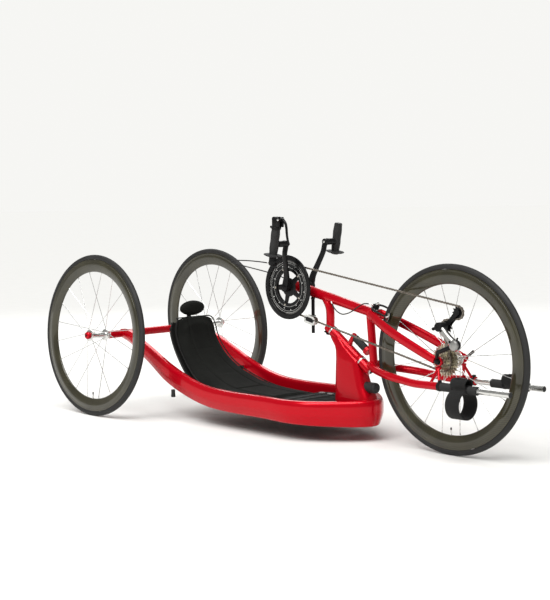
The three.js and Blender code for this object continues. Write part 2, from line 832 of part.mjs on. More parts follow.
/** Builds the padded leg sling that fills the space between the rails, round the riser. */
function legSling() {
  const shares = [[0, 0.5], [0.06, 1], [0.3, 1], [0.55, 1], [0.75, 1], [0.9, 0.9], [1, 0.5]];
  const across = [-1, -0.86, -0.5, 0, 0.5, 0.86, 1];
  const crownShares = [0, 0.6, 0.95, 1, 0.95, 0.6, 0];
  const rings = shares.map(([x, thick]) => {
    const distance = slingStart + x * slingLength;
    const half = railHalfAt(distance);
    const place = (share, rise) => at(distance, share * half, slingHeight + rise);
    const top = across.map((share, k) => place(
      share, thick * (slingThickness + crownShares[k] * slingCrown)));
    const under = across.map((share) => place(share, 0)).reverse();
    return [...top, ...under];
  });
  const body = cut(loft(rings), railShape(-1, gap), railShape(1, gap), riserShape(gap * 5));
  piece('leg_sling', body, fabric);
}

// Fork truss

/** Builds the boom with its bottom bracket shell, crown and brake bolt. */
function boom() {
  const main = tube([bracket, crown], boomRadius, { sides: 16, endRadius: boomFrontRadius });
  const shell = bar(
    bracket.clone().setY(-bracketHalf), bracket.clone().setY(bracketHalf), bracketRadius, 24);
  const cross = bar(crown.clone().setY(-crownHalf), crown.clone().setY(crownHalf), crownRadius);
  const boltEnd = caliperStandOff + caliperArmThickness * 2 + overrun * 2;
  const tip = crown.clone().addScaledVector(brakeUp, boltEnd);
  const bolt = bar(crown, tip, caliperBoltRadius, 10);
  const bore = bar(
    bracket.clone().setY(-track), bracket.clone().setY(track), crankAxleRadius + gap, 20);
  piece('boom', cut(join(main, shell, cross, bolt), bore), red);
}

/** Makes the boom and its crown, grown by a clearance, for cutting others back. */
function boomCut() {
  const main = tube([bracket, crown], boomRadius + gap, { sides: 16, endRadius: boomFrontRadius + gap });
  const reach = crownHalf + gap;
  const cross = bar(crown.clone().setY(-reach), crown.clone().setY(reach), crownRadius + gap);
  return join(main, cross);
}

const brakeOut = crown.clone().sub(frontHub).normalize();
const brakeUp = new THREE.Vector3(brakeOut.z, 0, -brakeOut.x);
const upperCollarStart = headTubeTop + gap;
const lowerCollarStart = headTubeStart - lowerCollarLength - gap;
const lowerCrown = onSteer(lowerCollarStart, lowerCollarLength * 0.6);

/** Builds the two struts that join the boom to the steerer. */
function struts() {
  const steerCut = bar(onSteer(0), onSteer(wheelbase), steererRadius + gap, 20);
  const upper = onSteer(upperCollarStart + upperCollarLength / 2);
  const boomSlope = crown.clone().sub(bracket).normalize();
  const rearTop = bracket.clone().addScaledVector(boomSlope, postPlace + rearStrutRadius * 4);
  const rearMid = upper.clone().lerp(rearTop, 0.62).addScaledVector(forward, rearStrutRadius);
  const rear = tube([rearTop, rearMid, upper], rearStrutRadius, { sides: 12, steps: 4 });
  const upperCollar = bar(
    onSteer(upperCollarStart), onSteer(upperCollarStart + upperCollarLength), collarRadius, 18);
  const headCut = bar(onSteer(0), onSteer(upperCollarStart), headRingRadius * 2, 20);
  piece('rear_strut', cut(join(rear, upperCollar), steerCut, headCut, boomCut()), red);

  const frontTop = crown.clone().addScaledVector(boomSlope, -crownRadius * 1.6);
  const front = bar(frontTop, lowerCrown, frontStrutRadius, 14);
  const lowerCollar = bar(
    onSteer(lowerCollarStart), onSteer(lowerCollarStart + lowerCollarLength), collarRadius, 18);
  const cross = bar(
    lowerCrown.clone().setY(-lowerCrownHalf), lowerCrown.clone().setY(lowerCrownHalf),
    lowerCrownRadius, 14);
  const knob = bar(
    onSteer(bumperPlace - knobLength, bumperOffset), onSteer(bumperPlace, bumperOffset), knobRadius, 14);
  piece('front_strut', cut(join(front, lowerCollar, cross, knob), steerCut, boomCut()), red);
  piece('steerer', bar(
    onSteer(lowerCollarStart - overrun), onSteer(upperCollarStart + upperCollarLength + overrun),
    steererRadius, 20), silver);
  piece('centering_bumper', bar(
    onSteer(bumperStart, bumperOffset), onSteer(bumperStart + bumperLength, bumperOffset),
    bumperRadius), rubber);
}

/** Builds the flat blades that run from the crown to the dropouts. */
function forkBlades() {
  const shares = [
    [0, 0.35, 1], [0.12, 0.55, 1], [0.28, 0.78, 1], [0.5, 0.94, 1], [0.8, 1, 0.95], [1, 1, 0.8],
  ];
  const bottom = frontHub.clone();
  for (const [side, suffix] of [[-1, 'right'], [1, 'left']]) {
    const path = shares.map(([along, out]) => crown.clone().lerp(bottom, along)
      .setY(side * out * (dropoutOffset + bladeWidth / 4)));
    const blade = loft(path.map((point, i) => {
      const along = heading(path, i);
      const rise = left.clone().cross(along).normalize();
      const across = along.clone().cross(rise).multiplyScalar((bladeWidth / 2) * shares[i][2]);
      return ring(point, across, rise.multiplyScalar((bladeDepth / 2) * shares[i][2]), 12);
    }));
    const inner = dropoutOffset - dropoutHalfThickness;
    const dropout = bar(
      frontHub.clone().setY(side * inner),
      frontHub.clone().setY(side * (dropoutOffset + dropoutHalfThickness)),
      dropoutRadius, 18);
    const clear = bar(
      frontHub.clone().setY(side * overrun), frontHub.clone().setY(side * inner), bladeDepth, 18);
    const outside = bar(
      frontHub.clone().setY(side * (dropoutOffset + dropoutHalfThickness)),
      frontHub.clone().setY(side * track), bladeDepth, 18);
    const axleCut = bar(
      frontHub.clone().setY(-track), frontHub.clone().setY(track), axleRadius + gap, 14);
    const body = cut(join(cut(blade, clear, outside), dropout), axleCut, boomCut());
    piece(`fork_blade_${suffix}`, body, red);
  }
}

/** Gives the middle line of a lower tube. */
function lowerTubePath(side) {
  const reach = frontX + lowerTubeEnd - lowerCrown.x;
  const shares = [[0, 0.19, 1], [0.12, 0.5, 0.72], [0.36, 0.88, 0.42], [0.56, 0.97, 0.16], [0.7, 1, 0],
    [0.85, 1, 0], [1, 1, 0]];
  return shares.map(([along, out, rise]) => new THREE.Vector3(
    lowerCrown.x + along * reach,
    side * out * footTubeOffset,
    lowerTubeHeight + rise * (lowerCrown.z - lowerTubeHeight),
  ));
}

/** Builds the lower tubes with their thin truss legs, and the sliding foot tubes. */
function lowerTubes() {
  const lowerCut = bar(
    lowerCrown.clone().setY(-lowerCrownHalf - gap), lowerCrown.clone().setY(lowerCrownHalf + gap),
    lowerCrownRadius + gap, 14);
  const collarCut = bar(
    onSteer(lowerCollarStart - gap), onSteer(lowerCollarStart + lowerCollarLength + gap),
    collarRadius + gap, 20);
  const legShares = [-0.55, 0.75];
  for (const [side, suffix] of [[-1, 'right'], [1, 'left']]) {
    const path = lowerTubePath(side);
    const end = path[path.length - 1];
    const main = tube(path, lowerTubeRadius, { sides: 12 });
    const root = frontHub.clone().setY(side * dropoutOffset)
      .addScaledVector(up, -dropoutRadius - gap - trussRadius);
    const foot = bar(
      root.clone().addScaledVector(forward, -dropoutRadius * 0.6),
      root.clone().addScaledVector(forward, dropoutRadius * 0.6), trussRadius, 8);
    const legs = legShares.map((share) => bar(
      root,
      new THREE.Vector3(frontX + share * lowerTubeEnd, side * footTubeOffset, lowerTubeHeight),
      trussRadius, 8));
    const bore = bar(
      end.clone().addScaledVector(forward, -footTubeInside - overrun),
      end.clone().addScaledVector(forward, overrun), footTubeRadius + gap, 16);
    const body = cut(join(main, foot, ...legs), bore, lowerCut, collarCut, strutCut());
    piece(`lower_tube_${suffix}`, body, red);

    const start = end.clone().addScaledVector(forward, -footTubeInside);
    const tip = start.clone().addScaledVector(forward, footTubeLength);
    piece(`foot_tube_${suffix}`, bar(start, tip, footTubeRadius, 16), silver);
    piece(`foot_rest_${suffix}`, footRestShape(end, side), rubber);
  }
}

/** Makes the lower stretch of the front strut, grown by a clearance. */
function strutCut() {
  return bar(crown, lowerCrown, frontStrutRadius + gap * 2, 14);
}

/** Makes a foot sleeve with its toe loop above and, on the right, its heel loop below. */
function footRestShape(end, side) {
  const start = end.clone().addScaledVector(forward, side > 0 ? leftRestPlace : gap);
  const sleeve = bar(start, start.clone().addScaledVector(forward, sleeveLength), sleeveRadius, 20);
  const middle = start.clone().addScaledVector(forward, sleeveLength * 0.55);
  const loop = (radius, drop, width, sides) => {
    const centre = middle.clone().addScaledVector(up, drop);
    return turned([
      [radius - loopThickness, -width / 2], [radius, -width / 2],
      [radius, width / 2], [radius - loopThickness, width / 2],
      [radius - loopThickness, -width / 2],
    ], centre, forward, sides);
  };
  const loops = [loop(toeLoopRadius, toeLoopRadius - loopThickness, loopWidth * 1.1, 18)];
  if (side < 0) {
    loops.push(loop(loopRadius, -loopRadius, loopWidth, 24));
  }
  const bore = bar(start.clone().addScaledVector(forward, -overrun),
    start.clone().addScaledVector(forward, sleeveLength + overrun), footTubeRadius + gap, 16);
  return cut(join(sleeve, ...loops), bore);
}

/** Builds the front axle, with its nut on the right, and the quick-release lever. */
function frontAxle() {
  const outer = dropoutOffset + dropoutHalfThickness + gap;
  const right = outer + axleNutLength;
  const axle = bar(frontHub.clone().setY(-right), frontHub.clone().setY(right), axleRadius, 14);
  const nut = bar(frontHub.clone().setY(-right), frontHub.clone().setY(-outer), axleNutRadius, 6);
  piece('front_axle', join(axle, nut), steel);
  const start = frontHub.clone().setY(outer);
  const cam = bar(start, frontHub.clone().setY(outer + leverThrow), axleNutRadius);
  const root = frontHub.clone().setY(outer + leverThrow - leverRadius);
  const direction = new THREE.Vector3(Math.cos(headAngle), 0, Math.sin(headAngle));
  const handle = bar(root, root.clone().addScaledVector(direction, leverLength), leverRadius, 10);
  const bore = bar(frontHub.clone(), frontHub.clone().setY(right + gap), axleRadius + gap, 14);
  piece('front_axle_lever', cut(join(cam, handle), bore), black);
}

// Cranks, rings and grips

/** Makes a toothed or plain ring in the plane of the chainset. */
function ringShape(outer, bore, place, thickness, teeth = 0) {
  const sides = teeth ? teeth * 2 : 48;
  const outline = Array.from({ length: sides }, (_, i) => {
    const angle = (2 * Math.PI * i) / sides;
    const radius = teeth && i % 2 ? outer - toothHeight : outer;
    return new THREE.Vector2(radius * Math.cos(angle), radius * Math.sin(angle));
  });
  const shape = new THREE.Shape(outline);
  const hole = new THREE.Path();
  hole.absarc(0, 0, bore, 0, 2 * Math.PI, true);
  shape.holes.push(hole);
  const geometry = new THREE.ExtrudeGeometry(shape, {
    depth: thickness, bevelEnabled: false, curveSegments: 14,
  });
  geometry.rotateX(Math.PI / 2);
  return geometry.translate(bracket.x, -place, bracket.z);
}

const ringInner = chainLine - ringThickness / 2;
const spiderStart = ringInner + ringThickness + gap;
const bigRingStart = spiderStart + spiderThickness + gap;
const guardStart = bigRingStart + ringThickness + gap;

/** Builds the axle, the two rings, the guard and the arms. */
function chainset() {
  const smallRadius = pitchRadius(smallTeeth) - chainHalfDepth - rootClearance;
  const bigRadius = pitchRadius(bigTeeth) + toothHeight / 2;
  piece('chainring_small', ringShape(smallRadius, ringBore, ringInner, ringThickness), black);
  piece('chainring_big', ringShape(bigRadius, ringBore, bigRingStart, ringThickness, bigTeeth), steel);
  piece('chain_guard', ringShape(guardRadius, guardBore, guardStart, guardThickness), black);
  const tip = crankArmOffset + crankThickness / 2;
  piece('crank_axle', bar(
    bracket.clone().setY(-tip), bracket.clone().setY(tip), crankAxleRadius, 20), steel);
  for (const [side, suffix] of [[-1, 'right'], [1, 'left']]) {
    piece(`crank_arm_${suffix}`, crankArmShape(side), black);
  }
}

const crankWay = new THREE.Vector3(Math.cos(crankAngle), 0, Math.sin(crankAngle));
const crankAcross = new THREE.Vector3(-Math.sin(crankAngle), 0, Math.cos(crankAngle));

/** Gives the end of a crank, at a length out along its grip axle. */
function crankEnd(side, out = 0) {
  return bracket.clone().addScaledVector(crankWay, crankLength)
    .setY(side * (crankArmOffset + crankFlare + out));
}

/** Makes one crank arm, with its axle boss, its grip axle and, on the right, the spider. */
function crankArmShape(side) {
  const root = bracket.clone().setY(side * crankArmOffset);
  const shares = [[0, 0, 1.2], [0.25, 0.05, 1.1], [0.5, 0.5, 0.95], [0.75, 0.95, 0.9], [1, 1, 0.95]];
  const arm = loft(shares.map(([along, out, width]) => {
    const centre = root.clone().addScaledVector(crankWay, along * crankLength)
      .addScaledVector(left, side * out * crankFlare);
    const half = (crankWidth / 2) * width;
    return [[-1, -1], [1, -1], [1, 1], [-1, 1]].map(([u, v]) => centre.clone()
      .addScaledVector(crankAcross, u * half)
      .addScaledVector(left, (v * crankThickness) / 2));
  }));
  const inner = side < 0 ? spiderStart : crankArmOffset - crankThickness;
  const boss = bar(
    bracket.clone().setY(side * inner),
    bracket.clone().setY(side * (crankArmOffset + crankThickness / 2)), crankBossRadius, 20);
  const end = bar(
    crankEnd(side, -crankThickness / 2), crankEnd(side, crankThickness / 2), crankWidth / 2, 18);
  const gripAxle = bar(crankEnd(side), crankEnd(side, pedalLength), pedalRadius, 14);
  const parts = [arm, boss, end, gripAxle];
  if (side < 0) {
    for (let i = 0; i < spiderArms; i += 1) {
      const angle = crankAngle + Math.PI / spiderArms + (2 * Math.PI * i) / spiderArms;
      const way = new THREE.Vector3(Math.cos(angle), 0, Math.sin(angle));
      const centre = bracket.clone().setY(-spiderStart - spiderThickness / 2)
        .addScaledVector(way, spiderRadius / 2);
      const turnWay = new THREE.Vector3(-way.z, 0, way.x);
      parts.push(block(centre, way, spiderRadius / 2, turnWay, crankThickness / 2, spiderThickness / 2));
    }
  }
  const bore = bar(
    bracket.clone().setY(-track), bracket.clone().setY(track), crankAxleRadius + gap, 20);
  return cut(join(...parts), bore);
}

/** Builds a hand grip that turns on its grip axle. */
function grip(side, suffix) {
  const centre = crankEnd(side, gripOffset);
  const lean = new THREE.Vector3(Math.sin(gripTilt), 0, Math.cos(gripTilt));
  const from = centre.clone().addScaledVector(lean, -gripBelow);
  const to = centre.clone().addScaledVector(lean, gripAbove);
  const handle = bar(from, to, gripRadius, 18);
  const sleeve = bar(
    crankEnd(side, crankThickness / 2 + gap), crankEnd(side, gripOffset), gripSleeveRadius);
  const flange = turned([
    [0, -gripFlangeThickness], [gripFlangeRadius * rimBulgeShare, -gripFlangeThickness],
    [gripFlangeRadius, 0], [gripRadius - gap, gripFlangeThickness / 2], [0, gripFlangeThickness / 2],
  ], from, lean, 20);
  const parts = [handle, sleeve, flange];
  if (side < 0) {
    const shifterEnd = from.clone().addScaledVector(lean, -gripFlangeThickness - shifterLength);
    parts.push(bar(from, shifterEnd, shifterRadius, 14));
    const bodyMiddle = to.clone().addScaledVector(lean, leverBodyLength / 2 - overrun)
      .addScaledVector(forward, leverBodyHalfDepth / 4);
    parts.push(block(
      bodyMiddle, forward, leverBodyHalfDepth, left, leverBodyHalfWidth, leverBodyLength / 2));
  }
  const bore = bar(crankEnd(side), crankEnd(side, pedalLength + gap), pedalRadius + gap, 14);
  let body = cut(join(...parts), bore);
  if (side < 0) body = cut(body, leverSlot());
  piece(`grip_${suffix}`, body, rubber);
}

/** Gives the pivot of the brake lever, in the head of the right grip. */
function leverPivot() {
  const lean = new THREE.Vector3(Math.sin(gripTilt), 0, Math.cos(gripTilt));
  return crankEnd(-1, gripOffset).addScaledVector(lean, gripAbove + leverBodyLength * 0.6)
    .addScaledVector(forward, leverBodyHalfDepth);
}

/** Makes the slot in the lever head that the brake lever turns in. */
function leverSlot() {
  const half = bladeRadius + gap * 2;
  return block(leverPivot(), forward, bladeRadius * 3, left, half, bladeRadius * 3);
}

/** Builds the brake lever in front of the right grip. */
function brakeLever() {
  const pivot = leverPivot();
  const knee = pivot.clone().addScaledVector(forward, leverReach * 0.6)
    .addScaledVector(up, -leverDrop * 0.15);
  const middle = pivot.clone().addScaledVector(forward, leverReach * 0.75)
    .addScaledVector(up, -leverDrop * 0.55);
  const tip = pivot.clone().addScaledVector(forward, leverReach).addScaledVector(up, -leverDrop);
  const taper = { sides: 8, steps: 7, endRadius: bladeRadius * 0.7 };
  const blade = tube([pivot, knee, middle, tip], bladeRadius, taper);
  piece('brake_lever', blade, black);
}

// Chain and derailleurs

const guidePulley = frontHub.clone().add(new THREE.Vector3(guidePulleyPlace, -chainLine, guidePulleyRise));
const tensionPulley = frontHub.clone()
  .add(new THREE.Vector3(tensionPulleyPlace, -chainLine, tensionPulleyRise));

/** Gives the points of the chain's closed middle line round its four sprockets. */
function chainPath() {
  const circles = [
    { centre: bracket, radius: pitchRadius(smallTeeth), turn: 1, steps: 15 },
    { centre: frontHub, radius: pitchRadius(cogTeeth), turn: 1, steps: 8 },
    { centre: guidePulley, radius: pitchRadius(pulleyTeeth), turn: -1, steps: 5 },
    { centre: tensionPulley, radius: pitchRadius(pulleyTeeth), turn: 1, steps: 6 },
  ];
  const leave = [];
  const arrive = [];
  circles.forEach((from, i) => {
    const to = circles[(i + 1) % circles.length];
    const dx = to.centre.x - from.centre.x;
    const dz = to.centre.z - from.centre.z;
    const reach = Math.hypot(dx, dz);
    const slope = Math.atan2(dz, dx);
    const lean = Math.asin((from.radius * from.turn - to.radius * to.turn) / reach);
    const square = slope - Math.PI / 2 + lean;
    leave[i] = from.turn > 0 ? square : square + Math.PI;
    arrive[(i + 1) % circles.length] = to.turn > 0 ? square : square + Math.PI;
  });
  const points = [];
  circles.forEach(({ centre, radius, turn, steps }, i) => {
    let sweep = (leave[i] - arrive[i]) * turn;
    sweep = ((sweep % (2 * Math.PI)) + 2 * Math.PI) % (2 * Math.PI);
    for (let k = 0; k <= steps; k += 1) {
      const angle = arrive[i] + (turn * sweep * k) / steps;
      points.push(new THREE.Vector3(
        centre.x + radius * Math.cos(angle), -chainLine, centre.z + radius * Math.sin(angle)));
    }
  });
  return points;
}

/** Builds the chain as a closed band. */
function chain() {
  const path = chainPath();
  const count = path.length;
  const rings = path.map((point, i) => {
    const along = path[(i + 1) % count].clone().sub(path[(i + count - 1) % count]).normalize();
    const out = new THREE.Vector3(-along.z, 0, along.x);
    return [[-1, -1], [1, -1], [1, 1], [-1, 1]].map(([u, v]) => point.clone()
      .addScaledVector(out, u * chainHalfDepth)
      .addScaledVector(left, v * chainHalfWidth));
  });
  piece('chain', loft(rings, true), steel);
}

/** Builds the pulleys, their cage, the derailleur's body and the chain guide. */
function derailleurs() {
  const pulleyRadius = pitchRadius(pulleyTeeth) - chainHalfDepth - rootClearance;
  for (const [name, centre] of [['guide_pulley', guidePulley], ['tension_pulley', tensionPulley]]) {
    const half = ringThickness / 2;
    const bore = cagePinRadius + gap;
    piece(name, turned([
      [bore, -half], [pulleyRadius, -half], [pulleyRadius, half], [bore, half], [bore, -half],
    ], centre, left, 22), black);
  }
  const way = tensionPulley.clone().sub(guidePulley);
  const plates = [-1, 1].map((side) => {
    const place = side * (cageHalfGap + cagePlateThickness / 2);
    const shift = left.clone().multiplyScalar(place);
    const middle = guidePulley.clone().lerp(tensionPulley, 0.5).add(shift);
    const along = way.clone().normalize();
    const strip = block(middle, along, way.length() / 2, along.clone().cross(left), cageHalfHeight / 2,
      cagePlateThickness / 2);
    const ends = [guidePulley, tensionPulley].map((centre) => bar(
      centre.clone().addScaledVector(left, place - cagePlateThickness / 2),
      centre.clone().addScaledVector(left, place + cagePlateThickness / 2), cageHalfHeight, 16));
    return join(strip, ...ends);
  });
  const reach = cageHalfGap + cagePlateThickness / 2;
  const pins = [guidePulley, tensionPulley].map((centre) => bar(
    centre.clone().addScaledVector(left, -reach), centre.clone().addScaledVector(left, reach),
    cagePinRadius, 10));
  piece('derailleur_cage', join(...plates, ...pins), black);

  const face = -chainLine - cageHalfGap - cagePlateThickness - gap;
  const knuckleTop = guidePulley.clone().setY(face);
  const knuckleEnd = guidePulley.clone().setY(face - knuckleLength);
  const knuckle = bar(knuckleTop, knuckleEnd, knuckleRadius, 18);
  const outer = dropoutOffset + dropoutHalfThickness + gap + bodyRadius;
  const lowKnuckle = frontHub.clone().add(
    new THREE.Vector3(tensionPulleyPlace * lowKnuckleShare, -outer, guidePulleyRise * 0.52));
  const hanger = frontHub.clone().add(new THREE.Vector3(dropoutRadius / 2, -outer, dropoutRadius * 2));
  const topKnuckle = guidePulley.clone().setY(-outer);
  const run = lowKnuckle.clone().sub(topKnuckle);
  const along = run.clone().normalize();
  const arm = block(topKnuckle.clone().addScaledVector(run, 0.5), along, run.length() / 2,
    along.clone().cross(left), linkHalfWidth, bodyRadius);
  const [topBarrel, lowBarrel] = [[topKnuckle, knuckleRadius], [lowKnuckle, lowKnuckleRadius]].map(
    ([centre, radius]) => bar(centre.clone().addScaledVector(left, -bodyRadius - linkCoverDepth),
      centre.clone().addScaledVector(left, bodyRadius + linkCoverDepth), radius, 20));
  const lowArm = bar(lowKnuckle, hanger, bodyRadius * 0.8, 12);
  const foot = bar(hanger, frontHub.clone().setY(-outer + bodyRadius * 0.4)
    .add(new THREE.Vector3(0, 0, dropoutRadius * 0.8)), bodyRadius * 0.6, 10);
  const adjuster = bar(knuckleEnd.clone().setY(-outer),
    guidePulley.clone().setY(-outer).add(new THREE.Vector3(-knuckleRadius * 2, 0, -knuckleRadius * 0.6)),
    bodyRadius * 0.6, 10);
  const bladeCut = bar(frontHub.clone().setY(-overrun),
    frontHub.clone().setY(-dropoutOffset - dropoutHalfThickness - gap), dropoutRadius * 2.1, 20);
  const nutCut = bar(frontHub.clone(), frontHub.clone().setY(-track), axleNutRadius + gap * 3, 20);
  const body = join(knuckle, arm, topBarrel, lowBarrel, lowArm, foot, adjuster);
  piece('derailleur_body', cut(body, bladeCut, nutCut), black);

  chainGuide();
}

/** Builds the post under the boom and the guide that the lower run passes through. */
function chainGuide() {
  const boomSlope = crown.clone().sub(bracket).normalize();
  const top = bracket.clone().addScaledVector(boomSlope, postPlace);
  const bottom = top.clone().setZ(bracket.z - postDrop);
  piece('guide_post', cut(bar(top, bottom, postRadius, 12), boomCut()), black);
  const centre = bracket.clone().add(new THREE.Vector3(guideOffset, -chainLine, -guideDrop));
  const path = chainPath();
  const run = path[16].clone().sub(path[15]).normalize();
  const rise = new THREE.Vector3(-run.z, 0, run.x);
  const plates = [-1, 1].map((side) => block(
    centre.clone().addScaledVector(left, side * (guideHalfGap + cagePlateThickness / 2)),
    run, guideHalfLength, rise, guideHalfHeight, cagePlateThickness / 2));
  const ends = [-1, 1].map((side) => bar(
    centre.clone().addScaledVector(run, side * (guideHalfLength - cagePinRadius * 2))
      .addScaledVector(rise, -guideHalfHeight + cagePinRadius * 2)
      .addScaledVector(left, -guideHalfGap - cagePlateThickness / 2),
    centre.clone().addScaledVector(run, side * (guideHalfLength - cagePinRadius * 2))
      .addScaledVector(rise, -guideHalfHeight + cagePinRadius * 2)
      .addScaledVector(left, guideHalfGap + cagePlateThickness / 2),
    cagePinRadius, 8));
  const armStart = centre.clone().addScaledVector(left, guideHalfGap + cagePlateThickness / 2);
  const armEnd = bottom.clone().setZ(centre.z);
  const arm = bar(armStart, armEnd, postRadius * 0.8, 10);
  const sleeve = bar(armEnd.clone().addScaledVector(up, postRadius * 2),
    armEnd.clone().addScaledVector(up, -postRadius * 2), postRadius * 1.6, 14);
  const bore = bar(top, bottom.clone().addScaledVector(up, -postRadius * 4), postRadius + gap, 12);
  piece('chain_guide', cut(join(...plates, ...ends, arm, sleeve), bore), silver);
}

// Brake

/** Gives a point in the caliper's plane: out from the hub, to one side, and above the crown. */
function brakePoint(out, side, rise) {
  return crown.clone().addScaledVector(brakeOut, out).addScaledVector(left, side)
    .addScaledVector(brakeUp, rise);
}

/** Builds the two caliper arms with their pads. */
function caliper() {
  [[-1, 'right'], [1, 'left']].forEach(([side, suffix], level) => {
    const rise = caliperStandOff + level * (caliperArmThickness + gap) + caliperArmThickness / 2;
    const outline = [
      [caliperArmWidth, -side * 0.2], [caliperArmWidth, side * 0.35], [-caliperReach * 0.15, side],
      [-caliperReach * 0.6, side * 0.95], [-caliperReach, side * 0.8],
    ];
    const path = outline.map(([out, across]) => brakePoint(out, across * caliperSpan, rise));
    const half = caliperArmWidth / 2;
    const armParts = path.slice(1).map((point, i) => {
      const along = point.clone().sub(path[i]);
      const middle = path[i].clone().lerp(point, 0.5);
      const unit = along.clone().normalize();
      return block(middle, unit, along.length() / 2 + half * 0.6, unit.clone().cross(brakeUp), half,
        caliperArmThickness / 2);
    });
    const hubOut = bar(brakePoint(0, 0, rise - caliperArmThickness / 2),
      brakePoint(0, 0, rise + caliperArmThickness / 2), caliperArmWidth * 1.1, 14);
    const web = block(brakePoint(caliperArmWidth / 2, 0, rise), brakeOut, half, left, half,
      caliperArmThickness / 2);
    const padFace = rimHalfWidth + padGap;
    const padBack = caliperSpan * 0.8;
    const padMiddle = brakePoint(-caliperReach, side * (padFace + padBack) / 2, rise);
    const pad = block(padMiddle, brakeUp, padHalfLength, left, (padBack - padFace) / 2, padHalfHeight);
    const bolt = bar(
      brakePoint(0, 0, -crownRadius), brakePoint(0, 0, wheelRadius), caliperBoltRadius + gap, 12);
    piece(`caliper_arm_${suffix}`, cut(join(...armParts, hubOut, web, pad), bolt, boomCut()), black);
  });
}

// Cables that their housings hold

/** The hand-chosen routes: the shifter's from the bracket, the brake's from the crown. */
const shifterRoute = [
  [18, -166, 98], [-34, -165, 101], [-110, -150, 102], [-190, -126, 100], [-255, -104, 96],
  [-284, -90, 91], [-276, -78, 83], [-236, -62, 73], [-186, -46, 62], [-140, -33, 52],
  [-70, -29, 38], [-13.6, -26, 19.6],
];
const brakeRoute = [
  [-202, -19.9, 36], [-188, -25, 20], [-168, -26, 2], [-142, -26, -8], [-116, -26, -5],
  [-90, -26, 5], [-58, -25, 24], [-32, -21, 36], [-5, -9, 34],
];

/** Builds a cable along a route that is measured from a point. */
function cable(name, from, route, steps) {
  const points = route.map(([x, y, z]) => from.clone().add(new THREE.Vector3(x, y, z)));
  const path = new THREE.CatmullRomCurve3(points);
  const section = new THREE.Shape();
  section.absarc(0, 0, cableRadius, 0, 2 * Math.PI, false);
  const geometry = new THREE.ExtrudeGeometry(section, {
    steps, extrudePath: path, curveSegments: 4, bevelEnabled: false,
  });
  piece(name, geometry, rubber);
}

rearWheel(-1, 'rear_right');
rearWheel(1, 'rear_left');
frontWheel();
cassette();
mainFrame();
seat();
legSling();
boom();
struts();
forkBlades();
lowerTubes();
frontAxle();
chainset();
grip(-1, 'right');
grip(1, 'left');
brakeLever();
chain();
derailleurs();
caliper();
cable('shifter_cable', bracket, shifterRoute, 22);
cable('brake_cable', crown, brakeRoute, 16);

export default group;
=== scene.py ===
"""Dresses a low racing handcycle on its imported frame.

Every size is in millimetres in the classes below, and a finished mesh is brought to metres in
the row frame: the origin on the ground midway between the axles, +X forward, +Y left, +Z up.
"""
from __future__ import annotations

import logging
import math
from dataclasses import dataclass, field
from enum import Enum
from typing import Callable, Iterable, Sequence

import bmesh
import bpy
from mathutils import Matrix, Vector

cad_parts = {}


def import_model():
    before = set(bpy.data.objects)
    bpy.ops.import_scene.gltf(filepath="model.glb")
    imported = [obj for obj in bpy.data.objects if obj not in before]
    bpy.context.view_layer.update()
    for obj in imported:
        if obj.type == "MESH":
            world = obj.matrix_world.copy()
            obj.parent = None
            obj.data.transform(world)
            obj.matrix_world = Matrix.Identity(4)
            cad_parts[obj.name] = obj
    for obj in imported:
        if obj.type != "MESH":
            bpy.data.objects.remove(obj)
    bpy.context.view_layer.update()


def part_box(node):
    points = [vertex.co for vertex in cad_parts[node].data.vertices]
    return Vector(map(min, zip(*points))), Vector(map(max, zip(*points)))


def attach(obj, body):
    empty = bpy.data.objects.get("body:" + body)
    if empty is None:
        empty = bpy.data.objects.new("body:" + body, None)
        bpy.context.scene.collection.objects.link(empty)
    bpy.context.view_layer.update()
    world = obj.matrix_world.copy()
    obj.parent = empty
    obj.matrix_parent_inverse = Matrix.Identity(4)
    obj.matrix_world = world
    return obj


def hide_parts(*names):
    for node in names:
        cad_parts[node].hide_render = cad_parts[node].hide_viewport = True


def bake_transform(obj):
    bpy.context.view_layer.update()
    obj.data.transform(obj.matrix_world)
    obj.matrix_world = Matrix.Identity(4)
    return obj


LOG = logging.getLogger("handcycle")
Socket = bpy.types.NodeSocket
Outline = Sequence[tuple[float, float]]
# a millimetre in metres, and then the clear gap round seated pieces and the chain's pitch in millimetres
MM = 0.001
GAP = 0.3
CHAIN_PITCH = 12.7
UP = Vector((0, 0, 1))
LEFT = Vector((0, 1, 0))
FORWARD = Vector((1, 0, 0))


class Side(Enum):
    """The rider's right or left, as a sign on +Y and a word in the names."""

    RIGHT = -1
    LEFT = 1

    @property
    def word(self) -> str:
        """The word that the nodes' names end in."""
        return self.name.lower()


def stand(origin: Vector, axis: Vector, toward: Vector | None = None) -> Matrix:
    """Makes a local frame.

    Args:
        origin: where the frame's own origin stands.
        axis: the direction of its +Z.
        toward: a direction that its +X leans to.

    Returns:
        The matrix that takes local points to the row frame.
    """
    rise = axis.normalized()
    guess = toward if toward is not None else rise.orthogonal()
    across = (guess - rise * guess.dot(rise)).normalized()
    turn = Matrix((across, rise.cross(across), rise)).transposed()
    return Matrix.Translation(origin) @ turn.to_4x4()


def smooth_path(points: Sequence[Vector], steps: int) -> list[Vector]:
    """Runs one smooth curve through points.

    Args:
        points: the points that it passes through.
        steps: how many stretches each gap gets.

    Returns:
        The points along the curve, the first and last given ones among them.
    """
    out: list[Vector] = []
    for i in range(len(points) - 1):
        a = points[max(i - 1, 0)]
        b, c = points[i], points[i + 1]
        d = points[min(i + 2, len(points) - 1)]
        for k in range(steps):
            t = k / steps
            out.append(0.5 * (2 * b + (c - a) * t + (2 * a - 5 * b + 4 * c - d) * t * t
                              + (3 * b - a - 3 * c + d) * t ** 3))
    return out + [points[-1].copy()]


